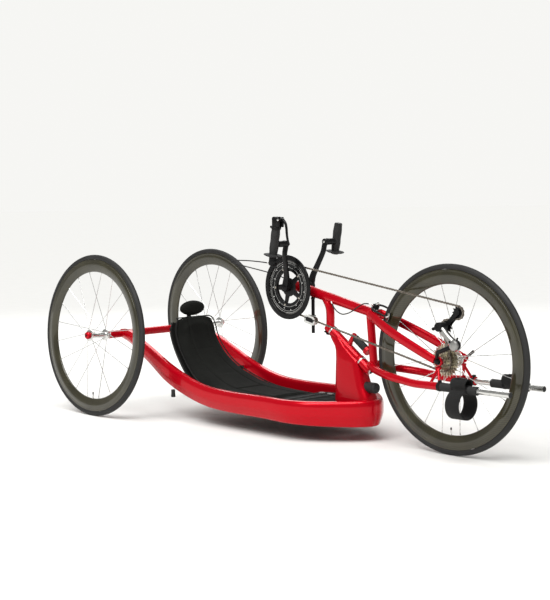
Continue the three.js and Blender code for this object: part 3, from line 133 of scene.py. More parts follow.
def heading(points: Sequence[Vector], i: int) -> Vector:
    """Gives the direction of a row of points at one of them."""
    return (points[min(i + 1, len(points) - 1)] - points[max(i - 1, 0)]).normalized()


def angles(count: int) -> list[float]:
    """Gives so many angles evenly round a circle."""
    return [2 * math.pi * k / count for k in range(count)]


def upward(angle: float) -> Vector:
    """Gives a direction in the middle plane, at an angle up from forward."""
    return Vector((math.cos(angle), 0, math.sin(angle)))


def square_to(way: Vector) -> Vector:
    """Gives the direction in the middle plane that is square to another one."""
    return Vector((-way.z, 0, way.x))


def oval(count: int, wide: float, high: float) -> list[tuple[float, float]]:
    """Gives the points of a unit oval, which is squarer as its two powers are lower."""
    return [(math.copysign(abs(math.cos(a)) ** wide, math.cos(a)),
             math.copysign(abs(math.sin(a)) ** high, math.sin(a))) for a in angles(count)]


def between(values: Sequence[float], i: int, steps: int) -> float:
    """Gives a value at a fine step, on straight lines between the given ones."""
    place = min(i / steps, len(values) - 1.0001)
    low = int(place)
    return values[low] + (values[low + 1] - values[low]) * (place - low)


def rounded(corners: Outline, radius: float, steps: int = 3) -> list[tuple[float, float]]:
    """Rounds the corners of a flat outline.

    Args:
        corners: the outline's corners in order.
        radius: how far from a corner the rounding starts.
        steps: how many stretches each rounding gets.

    Returns:
        The rounded outline's points.
    """
    out: list[tuple[float, float]] = []
    count = len(corners)
    for i, here in enumerate(corners):
        corner = Vector(here)
        before = Vector(corners[i - 1]) - corner
        after = Vector(corners[(i + 1) % count]) - corner
        start = corner + before.normalized() * min(radius, before.length * 0.45)
        end = corner + after.normalized() * min(radius, after.length * 0.45)
        for k in range(steps + 1):
            t = k / steps
            point = start * (1 - t) ** 2 + corner * 2 * t * (1 - t) + end * t * t
            out.append((point.x, point.y))
    return out


def pitch_radius(teeth: int) -> float:
    """Gives the pitch radius of a sprocket for the chain."""
    return CHAIN_PITCH / 2 / math.sin(math.pi / teeth)


class Graph:
    """One material's nodes, with short calls to add them."""

    def __init__(self, name: str) -> None:
        """Starts an empty material with a principled shader.

        Args:
            name: the material's name.
        """
        self.material = bpy.data.materials.new(name)
        self.material.use_nodes = True
        self.tree = self.material.node_tree
        self.tree.nodes.clear()
        self.shader = self.tree.nodes.new("ShaderNodeBsdfPrincipled")
        out = self.tree.nodes.new("ShaderNodeOutputMaterial")
        self.tree.links.new(self.shader.outputs[0], out.inputs[0])

    def set(self, **values: float | tuple) -> None:
        """Sets plain values on the shader's sockets, with _ for a space in a name."""
        for key, value in values.items():
            self.shader.inputs[key.replace("_", " ")].default_value = value

    def add(self, kind: str, inputs: dict | None = None, **settings: object) -> bpy.types.Node:
        """Adds a node.

        Args:
            kind: the node's type without ShaderNode.
            inputs: socket names or numbers, each with a value or a socket to link.
            settings: the node's own settings.

        Returns:
            The new node.
        """
        node = self.tree.nodes.new("ShaderNode" + kind)
        for key, value in settings.items():
            setattr(node, key, value)
        for key, value in (inputs or {}).items():
            if isinstance(value, Socket):
                self.tree.links.new(value, node.inputs[key])
            else:
                node.inputs[key].default_value = value
        return node

    def place(self, scale: Sequence[float] = (1, 1, 1), uv: bool = False) -> Socket:
        """Gives the object's own coordinates, or its UV map, stretched by a scale."""
        where = self.add("TexCoord").outputs["UV" if uv else "Object"]
        return self.add("Mapping", {"Vector": where, "Scale": scale}).outputs[0]

    def noise(self, scale: float, detail: float = 3, where: Socket | None = None) -> Socket:
        """Gives a noise of about that many blotches to the metre."""
        vector = where if where is not None else self.place()
        return self.add("TexNoise", {"Vector": vector, "Scale": scale, "Detail": detail}).outputs["Fac"]

    def maths(self, kind: str, *values: float | Socket) -> Socket:
        """Does one sum on numbers or sockets."""
        return self.add("Math", dict(enumerate(values)), operation=kind).outputs[0]

    def span(self, value: Socket, low: float, high: float,
             start: float = 0.3, end: float = 0.7) -> Socket:
        """Brings a value from start..end to low..high."""
        return self.add("MapRange", {
            "Value": value, "From Min": start, "From Max": end, "To Min": low, "To Max": high,
        }).outputs[0]

    def tint(self, value: Socket, *stops: tuple[float, tuple]) -> Socket:
        """Turns a value into a colour through a ramp of stops."""
        ramp = self.add("ValToRGB", {"Fac": value})
        elements = ramp.color_ramp.elements
        for i, (place, colour) in enumerate(stops):
            element = elements[i] if i < 2 else elements.new(place)
            element.position = place
            element.color = (*colour, 1)
        return ramp.outputs["Color"]

    def mix(self, fac: Socket, first: object, second: object,
            kind: str = "MIX") -> Socket:
        """Mixes two colours, or sockets of colours, by a factor."""
        node = self.add("Mix", data_type="RGBA", blend_type=kind)
        for number, value in ((0, fac), (6, first), (7, second)):
            if isinstance(value, Socket):
                self.tree.links.new(value, node.inputs[number])
            else:
                node.inputs[number].default_value = (*value, 1)
        return node.outputs[2]

    def bump(self, height: Socket, depth: float,
             normal: Socket | None = None) -> Socket:
        """Gives a normal that follows a height of that depth in millimetres."""
        inputs = {"Height": height, "Strength": 1.0, "Distance": depth * MM}
        if normal is not None:
            inputs["Normal"] = normal
        return self.add("Bump", inputs).outputs[0]

    def wire(self, **sockets: Socket) -> bpy.types.Material:
        """Links sockets to the shader's inputs and gives the material."""
        for key, socket in sockets.items():
            self.tree.links.new(socket, self.shader.inputs[key.replace("_", " ")])
        return self.material


def blend_of(colour: Sequence[float], share: float) -> tuple[float, ...]:
    """Makes a colour darker or lighter by a share."""
    return tuple(min(1.0, c * share) for c in colour)


@dataclass(frozen=True)
class Finish:
    """What every finish has: a name, a colour and a slot."""

    name: str
    colour: tuple[float, float, float]
    slot: str

    def make(self) -> bpy.types.Material:
        """Builds the material."""
        raise NotImplementedError


@dataclass(frozen=True)
class Lacquer(Finish):
    """Gloss paint under a clear coat, with faint flake, ripple and dust."""

    flake: float = 0.35

    def make(self) -> bpy.types.Material:
        """Builds the material."""
        g = Graph(self.name)
        g.set(Metallic=self.flake, Specular_IOR_Level=0.06, Coat_Weight=0.42, Coat_Roughness=0.03,
              Coat_IOR=1.42)
        broad = g.noise(3, 2)
        fleck = g.noise(2600, 1)
        colour = g.tint(broad, (0.3, blend_of(self.colour, 0.95)), (0.7, blend_of(self.colour, 1.04)))
        colour = g.mix(g.span(fleck, 0, 0.12, 0.5, 0.75), colour, blend_of(self.colour, 1.3))
        rough = g.span(g.noise(5, 3), 0.23, 0.27)
        ripple = g.bump(g.noise(180, 2), 0.002)
        return g.wire(Base_Color=colour, Roughness=rough, Normal=g.bump(fleck, 0.0006, ripple))


@dataclass(frozen=True)
class Coated(Finish):
    """Satin anodised or powder-coated metal, worn a little in patches."""

    rough: float = 0.42
    grain: float = 900.0

    def make(self) -> bpy.types.Material:
        """Builds the material."""
        g = Graph(self.name)
        g.set(Metallic=0.35, Specular_IOR_Level=0.24)
        patch = g.noise(24, 5)
        grain = g.noise(self.grain, 2)
        colour = g.tint(patch, (0.32, blend_of(self.colour, 0.75)), (0.7, blend_of(self.colour, 1.35)))
        worn = g.span(g.noise(90, 6), 0, 0.3, 0.62, 0.8)
        colour = g.mix(worn, colour, blend_of(self.colour, 3.2))
        rough = g.span(patch, self.rough - 0.08, self.rough + 0.1)
        return g.wire(Base_Color=colour, Roughness=rough, Normal=g.bump(grain, 0.012))


@dataclass(frozen=True)
class Rubber(Finish):
    """Moulded rubber with a fine pebble and chalky dust in it."""

    pebble: float = 700.0
    depth: float = 0.05

    def make(self) -> bpy.types.Material:
        """Builds the material."""
        g = Graph(self.name)
        cells = g.add("TexVoronoi", {"Vector": g.place(), "Scale": self.pebble}).outputs["Distance"]
        dust = g.noise(30, 6)
        colour = g.tint(dust, (0.3, blend_of(self.colour, 0.8)), (0.72, blend_of(self.colour, 1.6)))
        rough = g.span(dust, 0.62, 0.82)
        fine = g.bump(g.noise(1500, 2), 0.01)
        return g.wire(Base_Color=colour, Roughness=rough, Normal=g.bump(cells, self.depth, fine))


@dataclass(frozen=True)
class Tread(Finish):
    """A racing tyre: filed tread in the middle, threads in the side walls."""

    def make(self) -> bpy.types.Material:
        """Builds the material; the UV map runs round the wheel and over the tyre."""
        g = Graph(self.name)
        where = g.place(uv=True)
        parts = g.add("SeparateXYZ", {0: where})
        across = parts.outputs[1]
        crown = g.span(g.maths("ABSOLUTE", across), 1, 0, 0.0068, 0.0088)
        slant = g.maths("ADD", parts.outputs[0], g.maths("MULTIPLY", g.maths("ABSOLUTE", across), 1.4))
        file = g.maths("SINE", g.maths("MULTIPLY", slant, 2800.0))
        thread = g.maths("SINE", g.maths("MULTIPLY", g.maths("ADD", parts.outputs[0], across), 5200.0))
        height = g.maths("ADD", g.maths("MULTIPLY", file, crown), g.maths("MULTIPLY", thread, 0.25))
        wear = g.noise(28, 6)
        tread = g.tint(wear, (0.3, blend_of(self.colour, 0.85)), (0.7, blend_of(self.colour, 1.3)))
        wall = g.tint(wear, (0.3, blend_of(self.colour, 0.55)), (0.7, blend_of(self.colour, 0.85)))
        dusty = g.span(g.noise(9, 5), 0, 0.35, 0.5, 0.75)
        colour = g.mix(dusty, g.mix(crown, wall, tread), blend_of(self.colour, 2.0))
        rough = g.span(wear, 0.6, 0.78)
        return g.wire(Base_Color=colour, Roughness=rough, Normal=g.bump(height, 0.035))


@dataclass(frozen=True)
class Weave(Finish):
    """Woven carbon under a clear coat; the UV map is in metres over the surface."""

    cell: float = 2.4
    gloss: float = 1.0

    def make(self) -> bpy.types.Material:
        """Builds the material."""
        g = Graph(self.name)
        g.set(Metallic=0.25, Specular_IOR_Level=0.3, Coat_Weight=self.gloss, Coat_Roughness=0.03,
              Coat_IOR=1.45)
        size = 1 / (self.cell * MM)
        parts = g.add("SeparateXYZ", {0: g.place((size, size, size), uv=True)})
        u, v = parts.outputs[0], parts.outputs[1]
        step = g.maths("ADD", g.maths("FLOOR", u), g.maths("FLOOR", v))
        over = g.maths("LESS_THAN", g.maths("FLOORED_MODULO", step, 4.0), 1.5)
        lane_u = g.maths("SINE", g.maths("MULTIPLY", g.maths("FRACT", u), math.pi))
        lane_v = g.maths("SINE", g.maths("MULTIPLY", g.maths("FRACT", v), math.pi))
        tow = g.add("Mix", {0: over, 2: lane_u, 3: lane_v}).outputs[0]
        broad = g.noise(14, 5)
        # the tows that cross over are tinted lighter than the ones under them: the weave pattern is real, but
        # the lighter and darker tows are painted sheen and painted shade
        dark = g.tint(broad, (0.3, blend_of(self.colour, 0.62)), (0.72, blend_of(self.colour, 1.15)))
        light = g.tint(broad, (0.3, blend_of(self.colour, 1.0)), (0.72, blend_of(self.colour, 1.9)))
        colour = g.mix(over, dark, light)
        rough = g.span(over, 0.3, 0.46, 0, 1)
        return g.wire(Base_Color=colour, Roughness=rough, Normal=g.bump(tow, 0.02))


@dataclass(frozen=True)
class Metal(Finish):
    """Bare metal, brushed along one way or turned, with grime where it lies."""

    rough: float = 0.22
    stretch: tuple[float, float, float] = (900.0, 900.0, 900.0)
    grime: float = 0.3

    def make(self) -> bpy.types.Material:
        """Builds the material."""
        g = Graph(self.name)
        g.set(Metallic=1.0)
        lines = g.noise(1.0, 3, g.place(self.stretch))
        patch = g.noise(60, 6)
        clean = g.tint(lines, (0.3, blend_of(self.colour, 0.86)), (0.7, blend_of(self.colour, 1.08)))
        dirt = g.span(patch, 0, self.grime, 0.52, 0.78)
        colour = g.mix(dirt, clean, blend_of(self.colour, 0.32))
        rough = g.maths("ADD", g.span(lines, self.rough - 0.05, self.rough + 0.08),
                        g.maths("MULTIPLY", dirt, 0.5))
        return g.wire(Base_Color=colour, Roughness=rough, Normal=g.bump(lines, 0.006))


@dataclass(frozen=True)
class SpacerMesh(Finish):
    """Padded spacer cloth: rows of small open cells, faded in broad patches."""

    cell: float = 2.6

    def make(self) -> bpy.types.Material:
        """Builds the material."""
        g = Graph(self.name)
        g.set(Sheen_Weight=0.12, Sheen_Roughness=0.5, Sheen_Tint=(*blend_of(self.colour, 4), 1),
              Specular_IOR_Level=0.15)
        where = g.place()
        cells = g.add("TexVoronoi", {"Vector": where, "Scale": 1 / (self.cell * MM)}, feature="F1")
        hole = g.span(cells.outputs["Distance"], 1, 0, 0.12, 0.42)
        yarn = g.noise(2400, 2, where)
        broad = g.noise(11, 5, where)
        cloth = g.tint(broad, (0.3, blend_of(self.colour, 0.8)), (0.7, blend_of(self.colour, 1.35)))
        # the open cells are painted much darker than the cloth round them: painted shade inside the cells
        colour = g.mix(hole, cloth, blend_of(self.colour, 0.35))
        rough = g.span(yarn, 0.78, 0.95)
        height = g.maths("SUBTRACT", g.maths("MULTIPLY", yarn, 0.3), hole)
        return g.wire(Base_Color=colour, Roughness=rough, Normal=g.bump(height, 0.35))


@dataclass(frozen=True)
class Webbing(Finish):
    """Woven strap: ribs across it in rows; the UV map is in metres, u along the strap."""

    rib: float = 1.5

    def make(self) -> bpy.types.Material:
        """Builds the material."""
        g = Graph(self.name)
        g.set(Sheen_Weight=0.08, Sheen_Roughness=0.45, Specular_IOR_Level=0.25)
        parts = g.add("SeparateXYZ", {0: g.place(uv=True)})
        turn = 2 * math.pi / (self.rib * MM)
        ribs = g.maths("SINE", g.maths("MULTIPLY", parts.outputs[0], turn))
        rows = g.maths("SINE", g.maths("MULTIPLY", parts.outputs[1], turn * 0.6))
        height = g.maths("MULTIPLY", g.maths("ADD", ribs, 1.0), g.maths("ADD", rows, 1.4))
        fade = g.noise(20, 5)
        cloth = g.tint(fade, (0.3, blend_of(self.colour, 0.8)), (0.7, blend_of(self.colour, 1.5)))
        # the strap is painted darker where the ribs' height is low: painted shade in the valleys between the
        # ribs
        colour = g.mix(g.span(height, 0, 1, 0, 3.5), blend_of(self.colour, 0.5), cloth)
        return g.wire(Base_Color=colour, Roughness=g.span(fade, 0.75, 0.92), Normal=g.bump(height, 0.16))


class Palette:
    """The finishes of the handcycle, each built once."""

    RED = Lacquer("red_lacquer", (0.50, 0.0006, 0.009), "red_paint")
    BLACK = Coated("black_coat", (0.010, 0.010, 0.0105), "black_metal")
    GLOSS = Coated("black_gloss", (0.007, 0.007, 0.0075), "black_metal", 0.22, 500.0)
    RUBBER = Rubber("black_rubber", (0.009, 0.009, 0.009), "black_rubber")
    GRIP = Rubber("grip_rubber", (0.010, 0.010, 0.010), "black_rubber", 420.0, 0.16)
    HOSE = Rubber("cable_sleeve", (0.008, 0.008, 0.0085), "black_rubber", 1500.0, 0.01)
    TYRE = Tread("tyre_tread", (0.014, 0.014, 0.0136), "tyre")
    CARBON = Weave("carbon_weave", (0.030, 0.0268, 0.0128), "carbon")
    SILVER = Metal("polished_alloy", (0.78, 0.78, 0.76), "silver", 0.2)
    SPOKE = Metal("spoke_steel", (0.74, 0.74, 0.73), "silver", 0.24, (300.0, 300.0, 300.0), 0.15)
    STEEL = Metal("drive_steel", (0.50, 0.47, 0.40), "steel", 0.3, (1200.0, 300.0, 1200.0), 0.6)
    CASE = Metal("grey_alloy", (0.40, 0.40, 0.385), "silver", 0.36, (700.0, 700.0, 700.0), 0.5)
    COG = Metal("cog_steel", (0.62, 0.57, 0.45), "steel", 0.27, (1200.0, 300.0, 1200.0), 0.4)
    DARK = Metal("dark_steel", (0.16, 0.155, 0.15), "black_metal", 0.3, (500.0, 500.0, 500.0), 0.4)
    CHAIN = Metal("chain_steel", (0.27, 0.235, 0.20), "steel", 0.34, (700.0, 700.0, 700.0), 0.7)
    CLOTH = SpacerMesh("seat_cloth", (0.0062, 0.0066, 0.0056), "seat_fabric")
    PIPING = Webbing("seat_piping", (0.009, 0.009, 0.009), "seat_fabric", 1.1)
    STRAP = Webbing("strap_webbing", (0.011, 0.011, 0.011), "black_rubber", 1.6)
    SHELL = Weave("pan_weave", (0.010, 0.010, 0.0095), "black_metal", 3.0, 0.12)

    _made: dict[str, bpy.types.Material] = {}

    @classmethod
    def of(cls, finish: Finish) -> bpy.types.Material:
        """Gives a finish's material, and builds it the first time."""
        if finish.name not in cls._made:
            cls._made[finish.name] = finish.make()
        return cls._made[finish.name]


def shade(bm: bmesh.types.BMesh, sharp: float) -> None:
    """Shades a mesh smooth, apart from edges over so many degrees."""
    for edge in bm.edges:
        edge.smooth = edge.calc_face_angle(0) < math.radians(sharp)
    for face in bm.faces:
        face.smooth = True


def placed(name: str, data: bpy.types.ID) -> bpy.types.Object:
    """Makes an object of some data and links it to the scene."""
    thing = bpy.data.objects.new(name, data)
    bpy.context.scene.collection.objects.link(thing)
    return thing


class Form:
    """A mesh in the making, in millimetres in the row frame."""

    def __init__(self) -> None:
        """Starts an empty mesh."""
        self.bm = bmesh.new()
        self.uv = self.bm.loops.layers.uv.new("UVMap")

    def lathe(self, profile: Outline, place: Matrix, steps: int = 64, closed: bool = False) -> Form:
        """Spins a profile about the frame's +Z.

        Args:
            profile: pairs of radius and place along the axis.
            place: the frame that it turns in.
            steps: how many stretches go round.
            closed: whether the profile is a loop.

        Returns:
            This form.
        """
        verts = [self.bm.verts.new(place @ Vector((r, 0, z))) for r, z in profile]
        pairs = list(zip(verts, verts[1:])) + ([(verts[-1], verts[0])] if closed else [])
        edges = [self.bm.edges.new(pair) for pair in pairs]
        bmesh.ops.spin(
            self.bm, geom=verts + edges, cent=place.translation, axis=place.col[2].xyz,
            dvec=(0, 0, 0), angle=2 * math.pi, steps=steps, use_merge=True, use_duplicate=False)
        bmesh.ops.remove_doubles(self.bm, verts=self.bm.verts, dist=1e-3)
        return self

    def bar(self, start: Vector, end: Vector, radius: float, sides: int = 24,
            end_radius: float | None = None, bevel: float = 0.0) -> Form:
        """Adds a round bar between two points, its edges bevelled if asked."""
        way = end - start
        made = bmesh.ops.create_cone(
            self.bm, cap_ends=True, segments=sides, radius1=radius,
            radius2=radius if end_radius is None else end_radius, depth=way.length,
            matrix=stand((start + end) / 2, way))
        if bevel:
            self.soften(made["verts"], bevel, math.radians(50))
        return self

    def pin(self, spot: Vector, start: float, end: float, radius: float, sides: int = 24,
            bevel: float = 0.0) -> Form:
        """Adds a bar across the handcycle, between two places to the left of a point."""
        return self.bar(spot + LEFT * start, spot + LEFT * end, radius, sides, bevel=bevel)

    def ring(self, place: Matrix, radii: tuple[float, float], ends: tuple[float, float], steps: int,
             bevel: tuple[float, float] = (0, 0)) -> Form:
        """Adds a turned ring, or a disc where the bore is 0.

        Args:
            place: the frame whose +Z is the axis.
            radii: the bore and the outer radius.
            ends: where it starts and ends along the axis.
            steps: how many stretches go round.
            bevel: how far its outer edges are cut back, inwards and along the axis.

        Returns:
            This form.
        """
        (bore, radius), (start, end), (inward, along) = radii, ends, bevel
        rim = [(radius, start), (radius, end)]
        if inward:
            rim = [(radius - inward, start), (radius, start + along), (radius, end - along),
                   (radius - inward, end)]
        return self.lathe([(bore, start), *rim, (bore, end)], place, steps, closed=bore > 0)

    def block(self, place: Matrix, size: Sequence[float], bevel: float = 1.0, segments: int = 2) -> Form:
        """Adds a box of full sizes in a frame, with rounded edges."""
        made = bmesh.ops.create_cube(self.bm, size=1, matrix=place @ Matrix.Diagonal((*size, 1)))
        if bevel:
            self.soften(made["verts"], bevel, 0.1, segments)
        return self

    def soften(self, verts: Iterable[bmesh.types.BMVert], width: float, angle: float,
               segments: int = 2) -> None:
        """Bevels the edges among some vertices that are sharper than an angle."""
        chosen = set(verts)
        edges = {
            e for v in chosen for e in v.link_edges
            if e.other_vert(v) in chosen and e.calc_face_angle(0) > angle}
        bmesh.ops.bevel(
            self.bm, geom=list(edges), offset=width, offset_type="OFFSET", segments=segments,
            profile=0.5, affect="EDGES", material=-1, clamp_overlap=True)

    def sweep(self, rings: Sequence[Sequence[Vector]], caps: bool = True, loop: bool = False) -> Form:
        """Extrudes a ring of points from station to station.

        Args:
            rings: the ring's points at each station, in the same order.
            caps: whether both ends are closed.
            loop: whether the last station joins the first.

        Returns:
            This form.
        """
        bm = self.bm
        first = [bm.verts.new(p) for p in rings[0]]
        count = len(first)
        opening = [bm.edges.new((first[i], first[(i + 1) % count])) for i in range(count)]
        row, edges = first, opening
        arc = [0.0]
        for i in range(count):
            arc.append(arc[-1] + (rings[0][(i + 1) % count] - rings[0][i]).length)
        distance = 0.0
        for number, ring in enumerate(rings[1:]):
            made = bmesh.ops.extrude_edge_only(bm, edges=edges)["geom"]
            fresh = {v for v in made if isinstance(v, bmesh.types.BMVert)}
            follow = [next(e.other_vert(v) for e in v.link_edges if e.other_vert(v) in fresh) for v in row]
            edges = [e for e in made if isinstance(e, bmesh.types.BMEdge) and set(e.verts) <= fresh]
            for vert, point in zip(follow, ring):
                vert.co = point
            step = (sum(ring, Vector()) - sum(rings[number], Vector())).length / count
            order = {v: (i, 0) for i, v in enumerate(row)}
            order.update({v: (i, 1) for i, v in enumerate(follow)})
            for face in (f for f in made if isinstance(f, bmesh.types.BMFace)):
                numbers = [order[v][0] for v in face.verts]
                wraps = 0 in numbers and count - 1 in numbers
                for corner in face.loops:
                    i, late = order[corner.vert]
                    across = arc[count] if wraps and i == 0 else arc[i]
                    corner[self.uv].uv = ((distance + late * step) * MM, across * MM)
            distance += step
            row = follow
        if loop:
            bmesh.ops.bridge_loops(bm, edges=opening + edges)
        elif caps:
            bmesh.ops.contextual_create(bm, geom=opening)
            bmesh.ops.contextual_create(bm, geom=edges)
        return self

    def tube(self, points: Sequence[Vector], radius: float | Callable[[float], float], sides: int = 24,
             flatten: float = 1.0, caps: bool = True, hint: Vector = LEFT) -> Form:
        """Runs a round or flattened tube along points.

        Args:
            points: the middle line.
            radius: the radius, or a rule that gives it at a share of the length.
            sides: how many sides it has.
            flatten: its size along the hint, as a share of the other way.
            caps: whether its ends are closed.
            hint: a direction that stays across the tube.

        Returns:
            This form.
        """
        rings = []
        across = hint
        for i, point in enumerate(points):
            along = heading(points, i)
            across = (across - along * across.dot(along)).normalized()
            rise = along.cross(across)
            size = radius(i / (len(points) - 1)) if callable(radius) else radius
            rings.append([point + across * (size * flatten * math.cos(a)) + rise * (size * math.sin(a))
                          for a in angles(sides)])
        return self.sweep(rings, caps)

    def slab(self, outline: Sequence[Vector], half: float) -> Form:
        """Adds a flat plate that reaches so far to both sides of an outline."""
        return self.sweep([[p - LEFT * half for p in outline], [p + LEFT * half for p in outline]])

    def stamp(self, pattern: bpy.types.Mesh, places: Iterable[Matrix]) -> Form:
        """Adds a copy of a small mesh at each place."""
        for place in places:
            before = len(self.bm.verts)
            self.bm.from_mesh(pattern)
            self.bm.verts.ensure_lookup_table()
            bmesh.ops.transform(self.bm, matrix=place, verts=self.bm.verts[before:])
        return self

    def pattern(self) -> bpy.types.Mesh:
        """Turns this form into a small mesh for stamping, still in millimetres."""
        bmesh.ops.recalc_face_normals(self.bm, faces=self.bm.faces)
        mesh = bpy.data.meshes.new("pattern")
        self.bm.to_mesh(mesh)
        self.bm.free()
        return mesh

    def toothed(self, place: Matrix, teeth: int, bore: float, thickness: float,
                tip: float = 3.0, root: float = 4.0) -> Form:
        """Adds a toothed ring about the frame's +Z, from its origin on.

        Args:
            place: the frame; the ring lies between 0 and the thickness.
            teeth: the number of teeth.
            bore: the radius of the hole.
            thickness: the ring's thickness.
            tip: how far the teeth stand over the pitch circle.
            root: how deep the gaps go below it.

        Returns:
            This form.
        """
        pitch = pitch_radius(teeth)
        steps = [(0.0, pitch - root), (0.18, pitch - root * 0.9), (0.33, pitch - root * 0.1),
                 (0.44, pitch + tip), (0.56, pitch + tip), (0.67, pitch - root * 0.1),
                 (0.82, pitch - root * 0.9)]
        outline = [((i + share) * 2 * math.pi / teeth, radius)
                   for i in range(teeth) for share, radius in steps]
        loops = []
        for radii in ([r for _, r in outline], [bore] * len(outline)):
            ring = [self.bm.verts.new(place @ Vector((r * math.cos(a), r * math.sin(a), 0)))
                    for r, (a, _) in zip(radii, outline)]
            loops.append([self.bm.edges.new((ring[i - 1], ring[i])) for i in range(len(ring))])
        flat = bmesh.ops.bridge_loops(self.bm, edges=loops[0] + loops[1])["faces"]
        made = bmesh.ops.extrude_face_region(self.bm, geom=flat)["geom"]
        moved = [v for v in made if isinstance(v, bmesh.types.BMVert)]
        bmesh.ops.translate(self.bm, verts=moved, vec=place.col[2].xyz * thickness)
        return self

    def wrap_uv(self, place: Matrix, radius: float, across: Callable[[Vector], float]) -> Form:
        """Lays the UV map round an axis, in metres: u is the arc, v comes from a rule.

        Args:
            place: the frame whose +Z is the axis.
            radius: the radius that the arc is taken at.
            across: gives v in millimetres for a point in that frame.

        Returns:
            This form.
        """
        back = place.inverted()
        for face in self.bm.faces:
            base = None
            for corner in face.loops:
                p = back @ corner.vert.co
                angle = math.atan2(p.y, p.x)
                if base is None:
                    base = angle
                angle += round((base - angle) / (2 * math.pi)) * 2 * math.pi
                corner[self.uv].uv = (angle * radius * MM, across(p) * MM)
        return self

    def ribbon(self, points: Sequence[Vector], width: float, thick: float, hint: Vector,
               loop: bool = False) -> Form:
        """Runs a flat strap along points.

        Args:
            points: the middle line.
            width: the strap's width, along the hint.
            thick: its thickness.
            hint: a direction that stays across the strap.
            loop: whether it closes on itself.

        Returns:
            This form.
        """
        w, t = width / 2, thick / 2
        outline = rounded([(-w, -t), (w, -t), (w, t), (-w, t)], t, 2)
        count = len(points)
        rings = []
        for i, point in enumerate(points):
            if loop:
                along = (points[(i + 1) % count] - points[i - 1]).normalized()
            else:
                along = heading(points, i)
            across = (hint - along * along.dot(hint)).normalized()
            rise = along.cross(across)
            rings.append([point + across * u + rise * v for u, v in outline])
        return self.sweep(rings, not loop, loop)

    def piece(self, name: str, finish: Finish, body: str, *nodes: str, sharp: float = 38.0,
              weld: bool = True) -> bpy.types.Object:
        """Turns this form into a finished piece that rides on a body.

        Args:
            name: the piece's name.
            finish: its finish.
            body: the body that it moves with.
            nodes: the CAD nodes that it stands for.
            sharp: edges over this many degrees stay sharp.
            weld: whether points that coincide are merged.

        Returns:
            The piece.
        """
        bm = self.bm
        if weld:
            bmesh.ops.remove_doubles(bm, verts=bm.verts, dist=2e-3)
            bmesh.ops.dissolve_degenerate(bm, edges=bm.edges, dist=1e-4)
        bmesh.ops.recalc_face_normals(bm, faces=bm.faces)
        bmesh.ops.scale(bm, vec=(MM, MM, MM), verts=bm.verts)
        shade(bm, sharp)
        mesh = bpy.data.meshes.new(name)
        bm.to_mesh(mesh)
        bm.free()
        return dress(placed(name, mesh), finish, body, *nodes)


def dress(thing: bpy.types.Object, finish: Finish, body: str, *nodes: str) -> bpy.types.Object:
    """Gives a piece its finish and its body, and hides the nodes that it stands for."""
    thing.data.materials.clear()
    thing.data.materials.append(Palette.of(finish))
    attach(thing, body)
    if nodes:
        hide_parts(*nodes)
    LOG.info("%s rides on %s", thing.name, body)
    return thing


